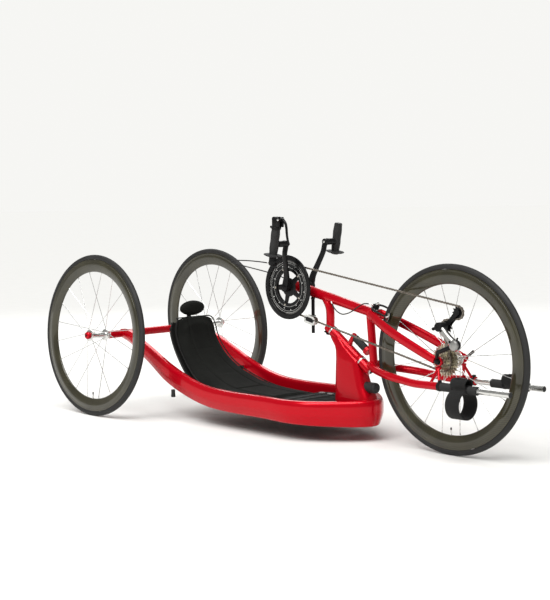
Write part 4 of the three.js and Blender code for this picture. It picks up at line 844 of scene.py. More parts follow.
@dataclass
class Layout:
    """The places that every part of the handcycle shares."""

    wheelbase: float = 1626
    track: float = 702
    trail: float = 10
    wheel_radius: float = 334
    camber: float = math.radians(3)
    head_angle: float = math.radians(35.3)
    crank_angle: float = math.radians(75)
    crank_length: float = 175
    crank_flare: float = 104
    chain_line: float = 44.5
    bracket_place: float = 872
    bracket_height: float = 556
    crown_place: float = 1270
    crown_height: float = 474
    post_place: float = 82
    ring_teeth: int = 44
    cog_teeth: int = 18
    pulley_teeth: int = 11
    lower_reach: float = 34
    lower_span: float = 93
    lower_height: float = 253

    def at(self, x: float, y: float, z: float) -> Vector:
        """Gives a point from the rear axle's x, the middle plane and the ground."""
        return Vector((x - self.wheelbase / 2, y, z))

    @property
    def front_hub(self) -> Vector:
        """The middle of the front hub."""
        return self.at(self.wheelbase, 0, self.wheel_radius)

    @property
    def bracket(self) -> Vector:
        """The middle of the bottom bracket."""
        return self.at(self.bracket_place, 0, self.bracket_height)

    @property
    def crown(self) -> Vector:
        """The middle of the fork's crown."""
        return self.at(self.crown_place, 0, self.crown_height)

    @property
    def slope(self) -> Vector:
        """The direction down along the boom."""
        return (self.crown - self.bracket).normalized()

    @property
    def crank_way(self) -> Vector:
        """The direction out along the cranks."""
        return upward(self.crank_angle)

    @property
    def guide_pulley(self) -> Vector:
        """The middle of the pulley that the chain meets last."""
        return self.front_hub + Vector((18, 0, 122))

    @property
    def tension_pulley(self) -> Vector:
        """The middle of the pulley that pulls the chain tight."""
        return self.front_hub + Vector((68, 0, 171))

    @property
    def blade_up(self) -> Vector:
        """The direction from the front hub up to the fork's crown."""
        return (self.crown - self.front_hub).normalized()

    @property
    def steer_up(self) -> Vector:
        """The direction up the steering axis."""
        return Vector((-math.cos(self.head_angle), 0, math.sin(self.head_angle)))

    @property
    def steer_out(self) -> Vector:
        """The direction square to the steering axis, up and forward."""
        return Vector((math.sin(self.head_angle), 0, math.cos(self.head_angle)))

    def on_steer(self, length: float, offset: float = 0) -> Vector:
        """Gives a point at a length up the steering axis from the ground."""
        foot = self.at(self.wheelbase - self.trail, 0, 0)
        return foot + self.steer_up * length + self.steer_out * offset

    def steer_frame(self, length: float = 0, offset: float = 0) -> Matrix:
        """Gives a frame on the steering axis, +Z up it, from a length up it and an offset out."""
        return stand(self.on_steer(length, offset), self.steer_up, self.steer_out)

    def lower_end(self, side: Side) -> Vector:
        """Gives the front end of a lower tube, where the foot tube slides in."""
        return Vector((self.front_hub.x + self.lower_reach, side.value * self.lower_span, self.lower_height))

    def rear_axis(self, side: Side) -> tuple[Vector, Vector]:
        """Gives a rear wheel's middle and its outward axis."""
        sign = side.value
        span = self.track / 2 - self.wheel_radius * math.sin(self.camber)
        centre = self.at(0, sign * span, self.wheel_radius * math.cos(self.camber))
        return centre, Vector((0, sign * math.cos(self.camber), math.sin(self.camber)))

    def crank_end(self, side: Side, out: float = 0) -> Vector:
        """Gives the end of a crank, at a length out along its grip axle."""
        point = self.bracket + self.crank_way * self.crank_length
        point.y = side.value * (self.crank_flare + out)
        return point

    def chain_points(self) -> list[Vector]:
        """Gives the closed middle line of the chain round its four sprockets."""
        line = -self.chain_line
        pulley = pitch_radius(self.pulley_teeth)
        circles = [
            (self.bracket, pitch_radius(self.ring_teeth), 1, 30),
            (self.front_hub, pitch_radius(self.cog_teeth), 1, 16),
            (self.guide_pulley, pulley, -1, 10), (self.tension_pulley, pulley, 1, 12)]
        leave: dict[int, float] = {}
        arrive: dict[int, float] = {}
        for i, (centre, radius, turn, _) in enumerate(circles):
            after = (i + 1) % 4
            other, size, way, _ = circles[after]
            gap = other - centre
            lean = math.asin((radius * turn - size * way) / math.hypot(gap.x, gap.z))
            square = math.atan2(gap.z, gap.x) - math.pi / 2 + lean
            leave[i] = square if turn > 0 else square + math.pi
            arrive[after] = square if way > 0 else square + math.pi
        points = []
        for i, (centre, radius, turn, steps) in enumerate(circles):
            swing = ((leave[i] - arrive[i]) * turn) % (2 * math.pi)
            for k in range(steps + 1):
                angle = arrive[i] + turn * swing * k / steps
                points.append(Vector((
                    centre.x + radius * math.cos(angle), line, centre.z + radius * math.sin(angle))))
        return points


LAYOUT = Layout()


@dataclass
class Wheel:
    """One wheel: tubular tyre, deep carbon rim, hub, spokes and valve."""

    word: str
    body: str
    centre: Vector
    axis: Vector
    flanges: tuple[tuple[float, float], ...]
    ends: tuple[float, float]
    barrel: float
    bore: float
    tyre_radius: float = 11.5
    seat_angle: float = math.radians(130)
    rim_depth: float = 52
    rim_half: float = 9.8
    spoke_count: int = 20
    spoke_radius: float = 1.3
    spoke_sweep: float = math.radians(26)
    tread_edge: float = 0.72
    tread_step: float = 0.3

    @property
    def place(self) -> Matrix:
        """The wheel's own frame, +Z outwards and +X down."""
        return stand(self.centre, self.axis, -UP)

    @property
    def rim_top(self) -> float:
        """The radius of the rim's bed."""
        middle = LAYOUT.wheel_radius - self.tyre_radius
        return middle + self.tyre_radius * math.cos(self.seat_angle) - GAP

    @property
    def rim_nose(self) -> float:
        """The radius of the rim's inner edge."""
        return self.rim_top - self.rim_depth

    def polar(self, radius: float, angle: float, across: float = 0.0) -> Vector:
        """Gives a point by its radius, its angle from straight down, and its place across."""
        return self.place @ Vector((radius * math.cos(angle), radius * math.sin(angle), across))

    def tyre(self) -> None:
        """Builds the tyre, with a low step where the tread ends."""
        middle = LAYOUT.wheel_radius - self.tyre_radius
        profile = []
        for i in range(37):
            angle = self.seat_angle * (i / 18 - 1)
            size = self.tyre_radius - (0.0 if abs(angle) < self.tread_edge else self.tread_step)
            profile.append((middle + size * math.cos(angle), size * math.sin(angle)))
        form = Form().lathe(profile, self.place, 128, closed=True)
        form.wrap_uv(self.place, middle, lambda p: self.tyre_radius * math.atan2(
            p.z, math.hypot(p.x, p.y) - middle))
        form.piece(f"tyre_{self.word}_skin", Palette.TYRE, self.body, f"tyre_{self.word}", sharp=50)

    def rim(self) -> None:
        """Builds the rim with its brake tracks, its belly and its rounded nose."""
        top, nose, half = self.rim_top, self.rim_nose, self.rim_half
        track_end = top - self.rim_depth * 0.22
        track = half - 0.25
        flank = [
            (top, half - 1.6), (top - 0.6, half - 0.5), (top - 1.6, track), (top - 5.6, track),
            (top - 5.9, half - 0.6), (top - 6.4, half - 0.6), (top - 6.7, track), (track_end, track),
            (track_end - 0.5, half), (top - self.rim_depth * 0.42, half),
            (top - self.rim_depth * 0.56, half * 0.93), (top - self.rim_depth * 0.7, half * 0.78),
            (top - self.rim_depth * 0.84, half * 0.58), (nose + 3.4, half * 0.44),
            (nose + 1.2, half * 0.3), (nose + 0.25, half * 0.13), (nose, 0)]
        mirrored = [(r, -z) for r, z in reversed(flank[:-1])]
        form = Form().lathe(flank + mirrored, self.place, 128, closed=True)
        form.wrap_uv(self.place, 300, lambda p: math.hypot(p.x, p.y))
        form.piece(f"rim_{self.word}_shell", Palette.CARBON, self.body, f"rim_{self.word}", sharp=35)

    def valve(self) -> None:
        """Builds the valve with its nut and its cap."""
        nose = self.rim_nose
        form = Form()
        form.bar(self.polar(nose + 4, 0), self.polar(nose - 22, 0), 2.3, 16, bevel=0.3)
        form.bar(self.polar(nose + 1, 0), self.polar(nose - 2.5, 0), 4.2, 6, bevel=0.3)
        for i in range(7):
            start = nose - 6 - i * 1.2
            form.bar(self.polar(start, 0), self.polar(start - 0.6, 0), 2.6, 16)
        form.piece(f"valve_{self.word}", Palette.SILVER, self.body)
        cap = Form().bar(self.polar(nose - 18, 0), self.polar(nose - 26, 0), 2.9, 12, bevel=0.5)
        cap.piece(f"valve_cap_{self.word}", Palette.GLOSS, self.body)

    def spokes(self) -> None:
        """Builds the spokes with their nipples and their heads in the flanges."""
        form = Form()
        nose = self.rim_nose
        for i in range(self.spoke_count):
            place, radius = self.flanges[i % len(self.flanges)]
            sign = 1 if i % 4 < 2 else -1
            turn = 2 * math.pi * (i + 0.5) / self.spoke_count
            sweep = turn + sign * self.spoke_sweep
            foot = self.polar(nose - 9, turn)
            form.bar(self.polar(radius - 3.4, sweep, place), foot, self.spoke_radius, 8)
            form.bar(foot, self.polar(nose + 1.0, turn), 1.5, 8, end_radius=2.3)
            head = [self.polar(radius - 3.4, sweep, place + sign * out) for out in (-2.8, 2.8)]
            form.bar(*head, 1.7, 10, bevel=0.4)
        form.piece(f"spokes_{self.word}", Palette.SPOKE, self.body)

    def hub(self) -> None:
        """Builds the turned hub shell, with a waist between its flanges."""
        start, end = self.ends
        barrel = self.barrel
        profile = [(self.bore, start), (barrel - 2, start), (barrel - 1, start + 1.2)]
        places = [place for place, _ in self.flanges]
        for place, radius in self.flanges:
            profile += [
                (barrel, place - 7), (barrel + 1.2, place - 4.5), (barrel + 4, place - 2.6),
                (radius - 1, place - 2), (radius, place - 1.2), (radius, place + 1.2),
                (radius - 1, place + 2), (barrel + 4, min(place + 2.6, end - 1.2)),
                (barrel + 1.2, min(place + 4.5, end - 0.9)), (barrel, min(place + 7, end - 0.7))]
            if place == places[0]:
                middle = sum(places) / 2
                profile += [(barrel - 1.2, middle - 8), (barrel - 1.6, middle), (barrel - 1.2, middle + 8)]
        profile += [(barrel - 0.4, end - 0.5), (barrel - 1.4, end), (self.bore, end)]
        form = Form().lathe(profile, self.place, 64, closed=True)
        form.piece(f"hub_{self.word}_shell", Palette.SILVER, self.body, f"hub_spokes_{self.word}", sharp=35)

    def cap(self, start: float, radius: float = 15, length: float = 14) -> None:
        """Builds a rear hub's red end cap and its bolt."""
        end = start + length
        profile = [
            (0, start), (radius - 0.8, start), (radius, start + 0.8), (radius, start + 3),
            (radius - 0.7, start + 3.4), (radius - 0.7, start + 4.2), (radius, start + 4.6),
            (radius, start + length * 0.55), (radius * 0.95, start + length * 0.68),
            (radius * 0.82, start + length * 0.86), (radius * 0.62, end - 0.5), (radius * 0.54, end),
            (radius * 0.42, end), (radius * 0.4, end - 1.5), (0, end - 1.5)]
        form = Form().lathe(profile, self.place, 64)
        form.piece(f"hub_cap_{self.word}_turned", Palette.RED, self.body, f"hub_cap_{self.word}", sharp=35)
        bolt = Form().bar(self.polar(0, 0, end - 1.6), self.polar(0, 0, end + 0.8), 4.6, 6, bevel=0.5)
        bolt.piece(f"hub_bolt_{self.word}", Palette.BLACK, self.body)

    def build(self) -> None:
        """Builds the whole wheel."""
        self.tyre()
        self.rim()
        self.valve()
        self.spokes()
        self.hub()


@dataclass
class Drive:
    """The chainset, the cogs, the chain, the derailleur and the chain guide."""

    line: float = LAYOUT.chain_line
    big_teeth: int = 54
    cogs: tuple[int, ...] = (28, 25, 22, 20, 18, 16, 14, 12, 11)
    cog_step: float = 4.1
    cog_thick: float = 1.8
    ring_bore: float = 62
    guard_radius: float = 123
    guard_bore: float = 104
    guard_start: float = 53.8
    arms: int = 5
    pins: int = 15
    turns: int = 144
    body: str = "crankset"

    def crank_frame(self, place: float = 0) -> Matrix:
        """The bottom bracket's frame, +Z to the rider's right, at a place out from the middle."""
        return stand(LAYOUT.bracket - LEFT * place, -LEFT, FORWARD)

    def cog_frame(self, place: float = 0) -> Matrix:
        """The front hub's frame, +Z to the rider's right, at a place out from the middle."""
        return stand(LAYOUT.front_hub - LEFT * place, -LEFT, FORWARD)

    def rings(self) -> None:
        """Builds the two toothed rings with their web and pins, the guard, the bolts and the spider."""
        small = Form().toothed(self.crank_frame(43.0), LAYOUT.ring_teeth, self.ring_bore, 3.0, 2.6, 4.2)
        small.piece("small_ring", Palette.BLACK, self.body, "chainring_small", sharp=25)
        big = Form().toothed(self.crank_frame(50.0), self.big_teeth, 97, 3.0, 2.2, 4.0)
        big.piece("big_ring", Palette.DARK, self.body, "chainring_big", sharp=25)
        bore = self.ring_bore
        web = Form().lathe([
            (bore, 50.6), (bore + 1.4, 49.6), (bore + 10, 49.6), (75, 50.8), (88, 50.8), (90, 49.8),
            (97.6, 49.8), (97.6, 53.2), (92, 53.2), (90.4, 52.4), (76, 52.4), (74.2, 53.8),
            (bore + 1.2, 53.8), (bore, 53)], self.crank_frame(), self.turns, closed=True)
        web.piece("ring_web", Palette.GLOSS, self.body, sharp=30)
        rims = Form()
        for radius in (75.2, 91.2, 97.4):
            rims.lathe([(radius - 0.7, 53.0), (radius + 0.7, 53.0), (radius + 0.4, 54.0),
                        (radius - 0.4, 54.0)],
                       self.crank_frame(), self.turns, closed=True)
        for i, angle in enumerate(angles(self.pins)):
            spot = LAYOUT.bracket + upward(LAYOUT.crank_angle + 0.2 + angle) * (83 + 4.2 * (i % 3 - 1))
            rims.pin(spot, -52, -53.8, 2.6, 16, 0.3)
        rims.piece("ring_pins", Palette.SILVER, self.body)
        start, inner, outer = self.guard_start, self.guard_bore, self.guard_radius
        end = start + 4.6
        guard = Form().lathe([
            (inner, start + 0.8), (inner + 1, start), (outer - 1.2, start), (outer, start + 1.2),
            (outer, end - 1.2), (outer - 1.2, end), (outer - 5, end), (outer - 5.6, end - 0.5),
            (inner + 5.6, end - 0.5), (inner + 5, end), (inner + 1, end), (inner, end - 0.8)],
            self.crank_frame(), self.turns, closed=True)
        guard.piece("guard_ring", Palette.GLOSS, self.body, "chain_guard", sharp=30)
        bolts, arms = Form(), Form()
        for angle in angles(self.arms):
            way = upward(LAYOUT.crank_angle + math.pi / self.arms + angle)
            bolts.pin(LAYOUT.bracket + way * 70, -42.2, -55.2, 4.4, 20, 0.6)
            points = [LAYOUT.bracket + way * r - LEFT * y for r, y in ((10, 50), (40, 48.3), (74, 48.3))]
            arms.tube(smooth_path(points, 3), lambda s: 15 - 7.0 * s, 20, flatten=0.16)
            arms.block(stand(LAYOUT.bracket + way * 108 - LEFT * 55.2, -LEFT, way), (18, 15, 2.2), 0.6)
        bolts.piece("ring_bolts", Palette.STEEL, self.body)
        arms.lathe([(17, 46.8), (34, 46.8), (36, 47.8), (36, 49.4), (33, 50.8), (17, 51.4)],
                   self.crank_frame(), 64, closed=True)
        arms.piece("ring_spider", Palette.BLACK, self.body)

    def crank_arm(self, side: Side) -> None:
        """Builds one crank arm with its boss, its cap and its grip axle."""
        sign = side.value
        way, hub = LAYOUT.crank_way, LAYOUT.bracket
        across = square_to(way)
        shares = [(-0.02, 0, 1.2, 1.1), (0.12, 0.0, 1.16, 1.1), (0.25, 0.05, 1.1, 1.05),
                  (0.5, 0.5, 0.95, 1.0),
                  (0.75, 0.95, 0.9, 0.95), (0.9, 1, 0.92, 0.9), (1, 1, 0.95, 0.9)]
        outline = rounded([(-1, -1), (1, -1), (1, 1), (-1, 1)], 0.62, 4)
        middle = [hub + way * (along * LAYOUT.crank_length) + LEFT * (sign * (70 + out * 34))
                  for along, out, _, _ in shares]
        _, _, widths, depths = zip(*shares)
        rings = []
        for i, point in enumerate(smooth_path(middle, 6)):
            half, deep = 12 * between(widths, i, 6), 6 * between(depths, i, 6)
            rings.append([point + across * (u * half) + LEFT * (v * deep * sign) for u, v in outline])
        form = Form().sweep(rings)
        inner = 48 if side is Side.RIGHT else 58
        frame = stand(hub, LEFT * sign, FORWARD)
        form.lathe([(9.3, inner), (16, inner), (17, inner + 1), (17, 75), (15.8, 77), (12.5, 77.6),
                    (12, 76.6),
                    (9.3, 76.6)], frame, 48, closed=True)
        end = LAYOUT.crank_end(side)
        end_frame = stand(end, LEFT * sign, FORWARD)
        form.ring(end_frame, (0, 12.2), (-6.4, 6.4), 40, (1.2, 1.2))
        form.piece(f"arm_{side.word}", Palette.BLACK, self.body, f"crank_arm_{side.word}", sharp=35)
        axle = Form().lathe([(0, 6), (9.5, 6), (9.5, 8), (7, 8.4), (7, 45), (6.2, 46), (0, 46)], end_frame,
                            32)
        axle.pin(end, sign * -6.2, sign * -7.4, 5.5, 6, 0.4)
        axle.piece(f"grip_axle_{side.word}", Palette.SILVER, self.body)
        cap = Form().lathe([(0, 75.2), (11.4, 75.2), (11.4, 76.2), (10.4, 77), (4.6, 77.4), (4.2, 76.2),
                            (0, 76.2)],
                           frame, 40)
        cap.piece(f"crank_cap_{side.word}", Palette.GLOSS, self.body)

    def axle(self) -> None:
        """Builds the hollow crank axle and the bearing cups in the shell."""
        form = Form().ring(self.crank_frame(), (5, 9), (-74, 74), 40)
        form.piece("crank_spindle", Palette.STEEL, self.body, "crank_axle")
        cups = Form()
        for side in Side:
            frame = stand(LAYOUT.bracket, LEFT * side.value, FORWARD)
            cups.lathe([(9.6, 33.2), (21.5, 33.2), (22.4, 34.2), (22.4, 38.4), (21, 40), (12, 40.4),
                        (9.6, 40.4)],
                       frame, 48, closed=True)
        cups.piece("bearing_cups", Palette.BLACK, "fork")

    def cassette(self) -> None:
        """Builds the nine cogs, their spacers and the lock ring."""
        form = Form()
        first = self.line - self.cog_step * self.cogs.index(LAYOUT.cog_teeth) - self.cog_thick / 2
        for i, teeth in enumerate(self.cogs):
            form.toothed(self.cog_frame(first + i * self.cog_step), teeth, 15.5, self.cog_thick, 3.0, 4.0)
        form.piece("cogs", Palette.COG, "cassette_body", "cassette", sharp=25)
        core = Form().ring(self.cog_frame(), (11.4, 17.4), (26, 60), 48)
        core.piece("cog_spacers", Palette.BLACK, "cassette_body")
        last = Form().lathe([(11.4, 60.2), (17.6, 60.2), (18, 60.8), (17.2, 62.2), (13, 62.6), (11.4, 62.6)],
                            self.cog_frame(), 48, closed=True)
        last.piece("lock_ring", Palette.SILVER, "cassette_body")

    def chain(self) -> None:
        """Builds the chain link by link along its route."""
        points = LAYOUT.chain_points()
        loop = points + [points[0]]
        lengths = [(b - a).length for a, b in zip(loop, loop[1:])]
        count = round(sum(lengths) / CHAIN_PITCH / 2) * 2
        pitch = sum(lengths) / count
        reach = CHAIN_PITCH / 2

        def along(distance: float) -> Vector:
            """Gives the point at a distance along the chain."""
            for a, b, size in zip(loop, loop[1:], lengths):
                if distance <= size:
                    return a.lerp(b, distance / size if size else 0)
                distance -= size
            return loop[-1]

        patterns = []
        for half in (2.0, 2.9):
            plate = Form()
            for sign in (-1, 1):
                outline = [Vector((reach * u + 3.7 * v, 0, 3.9 * w)) + LEFT * (sign * half) for u, v, w in (
                    (-1, -1, 0), (-1, -0.4, 0.85), (-1, 0.3, 0.85), (0, 0, 0.62), (1, -0.3, 0.85),
                    (1, 0.4, 0.85),
                    (1, 1, 0), (1, 0.4, -0.85), (1, -0.3, -0.85), (0, 0, -0.62), (-1, 0.3, -0.85),
                    (-1, -0.4, -0.85))]
                plate.slab(outline, 0.4)
            plate.pin(Vector((-reach, 0, 0)), -3.3, 3.3, 1.8, 8)
            if half < 2.5:
                for end in (-reach, reach):
                    plate.pin(Vector((end, 0, 0)), -1.5, 1.5, 3.3, 10)
            patterns.append(plate.pattern())
        form = Form()
        for kind, pattern in enumerate(patterns):
            places = []
            for i in range(kind, count, 2):
                a, b = along(i * pitch), along(((i + 1) * pitch) % sum(lengths))
                middle = (a + b) / 2
                way = (b - a).normalized()
                turn = Matrix((way, LEFT, way.cross(LEFT))).transposed().to_4x4()
                places.append(Matrix.Translation(middle) @ turn)
            form.stamp(pattern, places)
        form.piece("chain_links", Palette.CHAIN, "fork", "chain", weld=False)

    def pulleys(self) -> None:
        """Builds the two toothed pulleys in their cage."""
        guide, tension = LAYOUT.guide_pulley, LAYOUT.tension_pulley
        for word, centre in (("guide", guide), ("tension", tension)):
            frame = stand(centre - LEFT * (self.line - 1.6), -LEFT, FORWARD)
            form = Form().toothed(frame, LAYOUT.pulley_teeth, 6.0, 3.2, 2.4, 4.2)
            form.piece(f"{word}_wheel", Palette.GLOSS, f"{word}_pulley_body", f"{word}_pulley", sharp=25)
            boss = Form().ring(frame, (3.3, 6.2), (-1.2, 4.4), 32)
            boss.piece(f"{word}_bearing", Palette.SILVER, f"{word}_pulley_body")
        cage = Form()
        way = (tension - guide).normalized()
        across = square_to(way)
        reach = (tension - guide).length
        outline = rounded([(-11, -10), (reach * 0.5, -7), (reach + 11, -10), (reach + 11, 10),
                           (reach * 0.5, 7),
                           (-11, 10)], 9, 5)
        for sign in (-1, 1):
            shift = -LEFT * (self.line + sign * 8.3)
            cage.slab([guide + way * x + across * z + shift for x, z in outline], 0.8)
        for centre in (guide, tension):
            cage.pin(centre, 10.6 - self.line, -10.6 - self.line, 2.9, 16, 0.4)
            cage.pin(centre, -9 - self.line, -10.4 - self.line, 5, 20, 0.4)
        cage.piece("pulley_cage", Palette.BLACK, "cage_body", "derailleur_cage", sharp=35)

    def derailleur(self) -> None:
        """Builds the derailleur's knuckles, its links, its cover, its hanger and its adjusters."""
        hub, guide = LAYOUT.front_hub, LAYOUT.guide_pulley
        face, outer = self.line + 9.4, 81.3
        top = guide - LEFT * outer
        low = hub + Vector((83, 0, 63.4)) - LEFT * outer
        hanger = hub + Vector((8.5, 0, 34)) - LEFT * outer
        form = Form()
        form.lathe([(0, 0), (13.4, 0), (14.8, 1.4), (14.8, 13), (16, 14.2), (16, 38), (14.6, 40), (11, 40.4),
                    (10.4, 39.2), (5, 39.2), (4.4, 37.6), (0, 37.6)],
                    stand(guide - LEFT * face, -LEFT, FORWARD), 56)
        form.lathe([(0, -13), (15.6, -13), (17.6, -11.4), (17.6, 2), (16.6, 3), (0, 3)],
                   stand(low, -LEFT, FORWARD), 48)
        form.bar(low, hanger, 8, 28, bevel=1.2)
        form.bar(hanger, hub + Vector((0, 0, 13.6)) - LEFT * 77.3, 6, 24, bevel=1)
        run = low - top
        self.link(form, top, run, (-9.4, -1.2), 11.4)
        form.piece("derailleur_links", Palette.BLACK, "fork", "derailleur_body", sharp=35)
        bright = Form()
        self.link(bright, top, run, (-0.4, 11.4), 13)
        bright.lathe([(0, 3.2), (18.2, 3.2), (19, 4), (19, 7.4), (17.6, 10), (13, 12.2), (8, 13), (4.6, 13),
                      (4, 11.6), (0, 11.6)], stand(low, -LEFT, FORWARD), 48)
        bright.piece("derailleur_cover", Palette.CASE, "fork", sharp=35)
        knobs = Form()
        for at in (top + run * 0.2, top + run * 0.8):
            knobs.lathe([(0, 10), (4.6, 10), (4.6, 12.2), (3.8, 13), (2.4, 13), (2, 11.8), (0, 11.8)],
                        stand(at, -LEFT, FORWARD), 24)
        reach = Vector((-32, 0, -9.6))
        knobs.bar(top + reach * 0.4, top + reach * 0.7, 4, 24)
        knobs.bar(top + reach * 0.62, top + reach, 6, 14, bevel=1.2)
        stop = low + LEFT * 4
        knobs.bar(stop + Vector((4, 0, 14)), stop + Vector((9, 0, 26)), 3.4, 18, bevel=0.6)
        knobs.piece("derailleur_adjusters", Palette.GLOSS, "fork")

    @staticmethod
    def link(form: Form, top: Vector, run: Vector, depth: tuple[float, float], half: float) -> None:
        """Adds one faceted plate of the derailleur's parallelogram to a form.

        Args:
            form: the form that takes the plate.
            top: the upper knuckle's middle.
            run: the way from the upper knuckle to the lower one.
            depth: the plate's inner and outer faces, as distances outward from the knuckles' middle.
            half: half the plate's width.
        """
        across = square_to(run.normalized())
        middle, thick = sum(depth) / 2, (depth[1] - depth[0]) / 2
        section = rounded([(-1, -0.7), (-0.8, -1), (0.8, -1), (1, -0.7), (1, 0.2), (0.55, 1), (-0.55, 1),
                           (-1, 0.2)],
                          0.12, 2)
        rings = []
        for share, wide, deep in ((0.1, 0.8, 0.8), (0.16, 0.96, 0.94), (0.3, 1, 1), (0.45, 0.86, 0.92),
                                  (0.62, 0.86, 0.92), (0.76, 1, 1), (0.88, 0.96, 0.94), (0.93, 0.8, 0.8)):
            rings.append([top + run * share + across * (u * half * wide) - LEFT * (middle + v * thick * deep)
                          for u, v in section])
        form.sweep(rings)

    def guide(self) -> None:
        """Builds the post under the boom and the guide that the lower run passes through."""
        top = LAYOUT.bracket + LAYOUT.slope * LAYOUT.post_place
        bottom = Vector((top.x, 0, LAYOUT.bracket_height - 175))
        post = Form().bar(top, bottom, 6.5, 28, bevel=1.2)
        post.bar(top - UP * 22, top - UP * 28, 8.4, 32, bevel=0.8)
        post.piece("guide_stem", Palette.BLACK, "fork", "guide_post")
        points = LAYOUT.chain_points()
        run_at = min(range(len(points) - 1), key=lambda i: -(points[i + 1] - points[i]).length
                     if points[i].z < LAYOUT.bracket_height - 60 else 1e9)
        run = (points[run_at + 1] - points[run_at]).normalized()
        rise = square_to(run)
        if rise.z < 0:
            rise = -rise
        centre = LAYOUT.bracket + Vector((113, -self.line, -119))
        cage = Form()
        outline = rounded([(-29, -13), (-20, -16), (22, -16), (29, -9), (29, 9), (20, 16), (-22, 16),
                           (-29, 11)], 5, 3)
        for sign in (-1, 1):
            cage.slab([centre + run * x + rise * z - LEFT * (sign * 8.2) for x, z in outline], 0.8)
            cage.pin(centre + run * (sign * 23) - rise * 10, -9.4, 9.4, 2.6, 16, 0.4)
        cage.piece("guide_cage", Palette.SILVER, "chain_guide_body", "chain_guide", sharp=35)
        panel = Form()
        outline = rounded([(-19, -7), (19, -7), (21, 2), (14, 9), (-16, 9), (-20, 3)], 3, 3)
        panel.slab([centre + run * x + rise * z - LEFT * 9.2 for x, z in outline], 0.5)
        for x in (-24, 24):
            panel.pin(centre + run * x + rise * 4, -8, -11.4, 3, 20, 0.5)
        panel.piece("guide_panel", Palette.GLOSS, "chain_guide_body", sharp=35)
        arm_end = Vector((top.x, 0, centre.z))
        arm = Form().bar(centre + LEFT * 8, arm_end, 5, 20, bevel=0.6)
        arm.ring(stand(arm_end, UP, FORWARD), (6.9, 11), (-13, 13), 36, (0.8, 1))
        arm.bar(arm_end - FORWARD * 8 - LEFT * 2, arm_end - FORWARD * 15 - LEFT * 2, 2.6, 6, bevel=0.3)
        arm.block(stand(centre - UP * 12 + LEFT * 10, LEFT, run), (24, 12, 5), 1.2)
        arm.piece("guide_clamp", Palette.BLACK, "chain_guide_body", sharp=35)

    def build(self) -> None:
        """Builds the whole drive."""
        self.rings()
        for side in Side:
            self.crank_arm(side)
        self.axle()
        self.cassette()
        self.chain()
        self.pulleys()
        self.derailleur()
        self.guide()


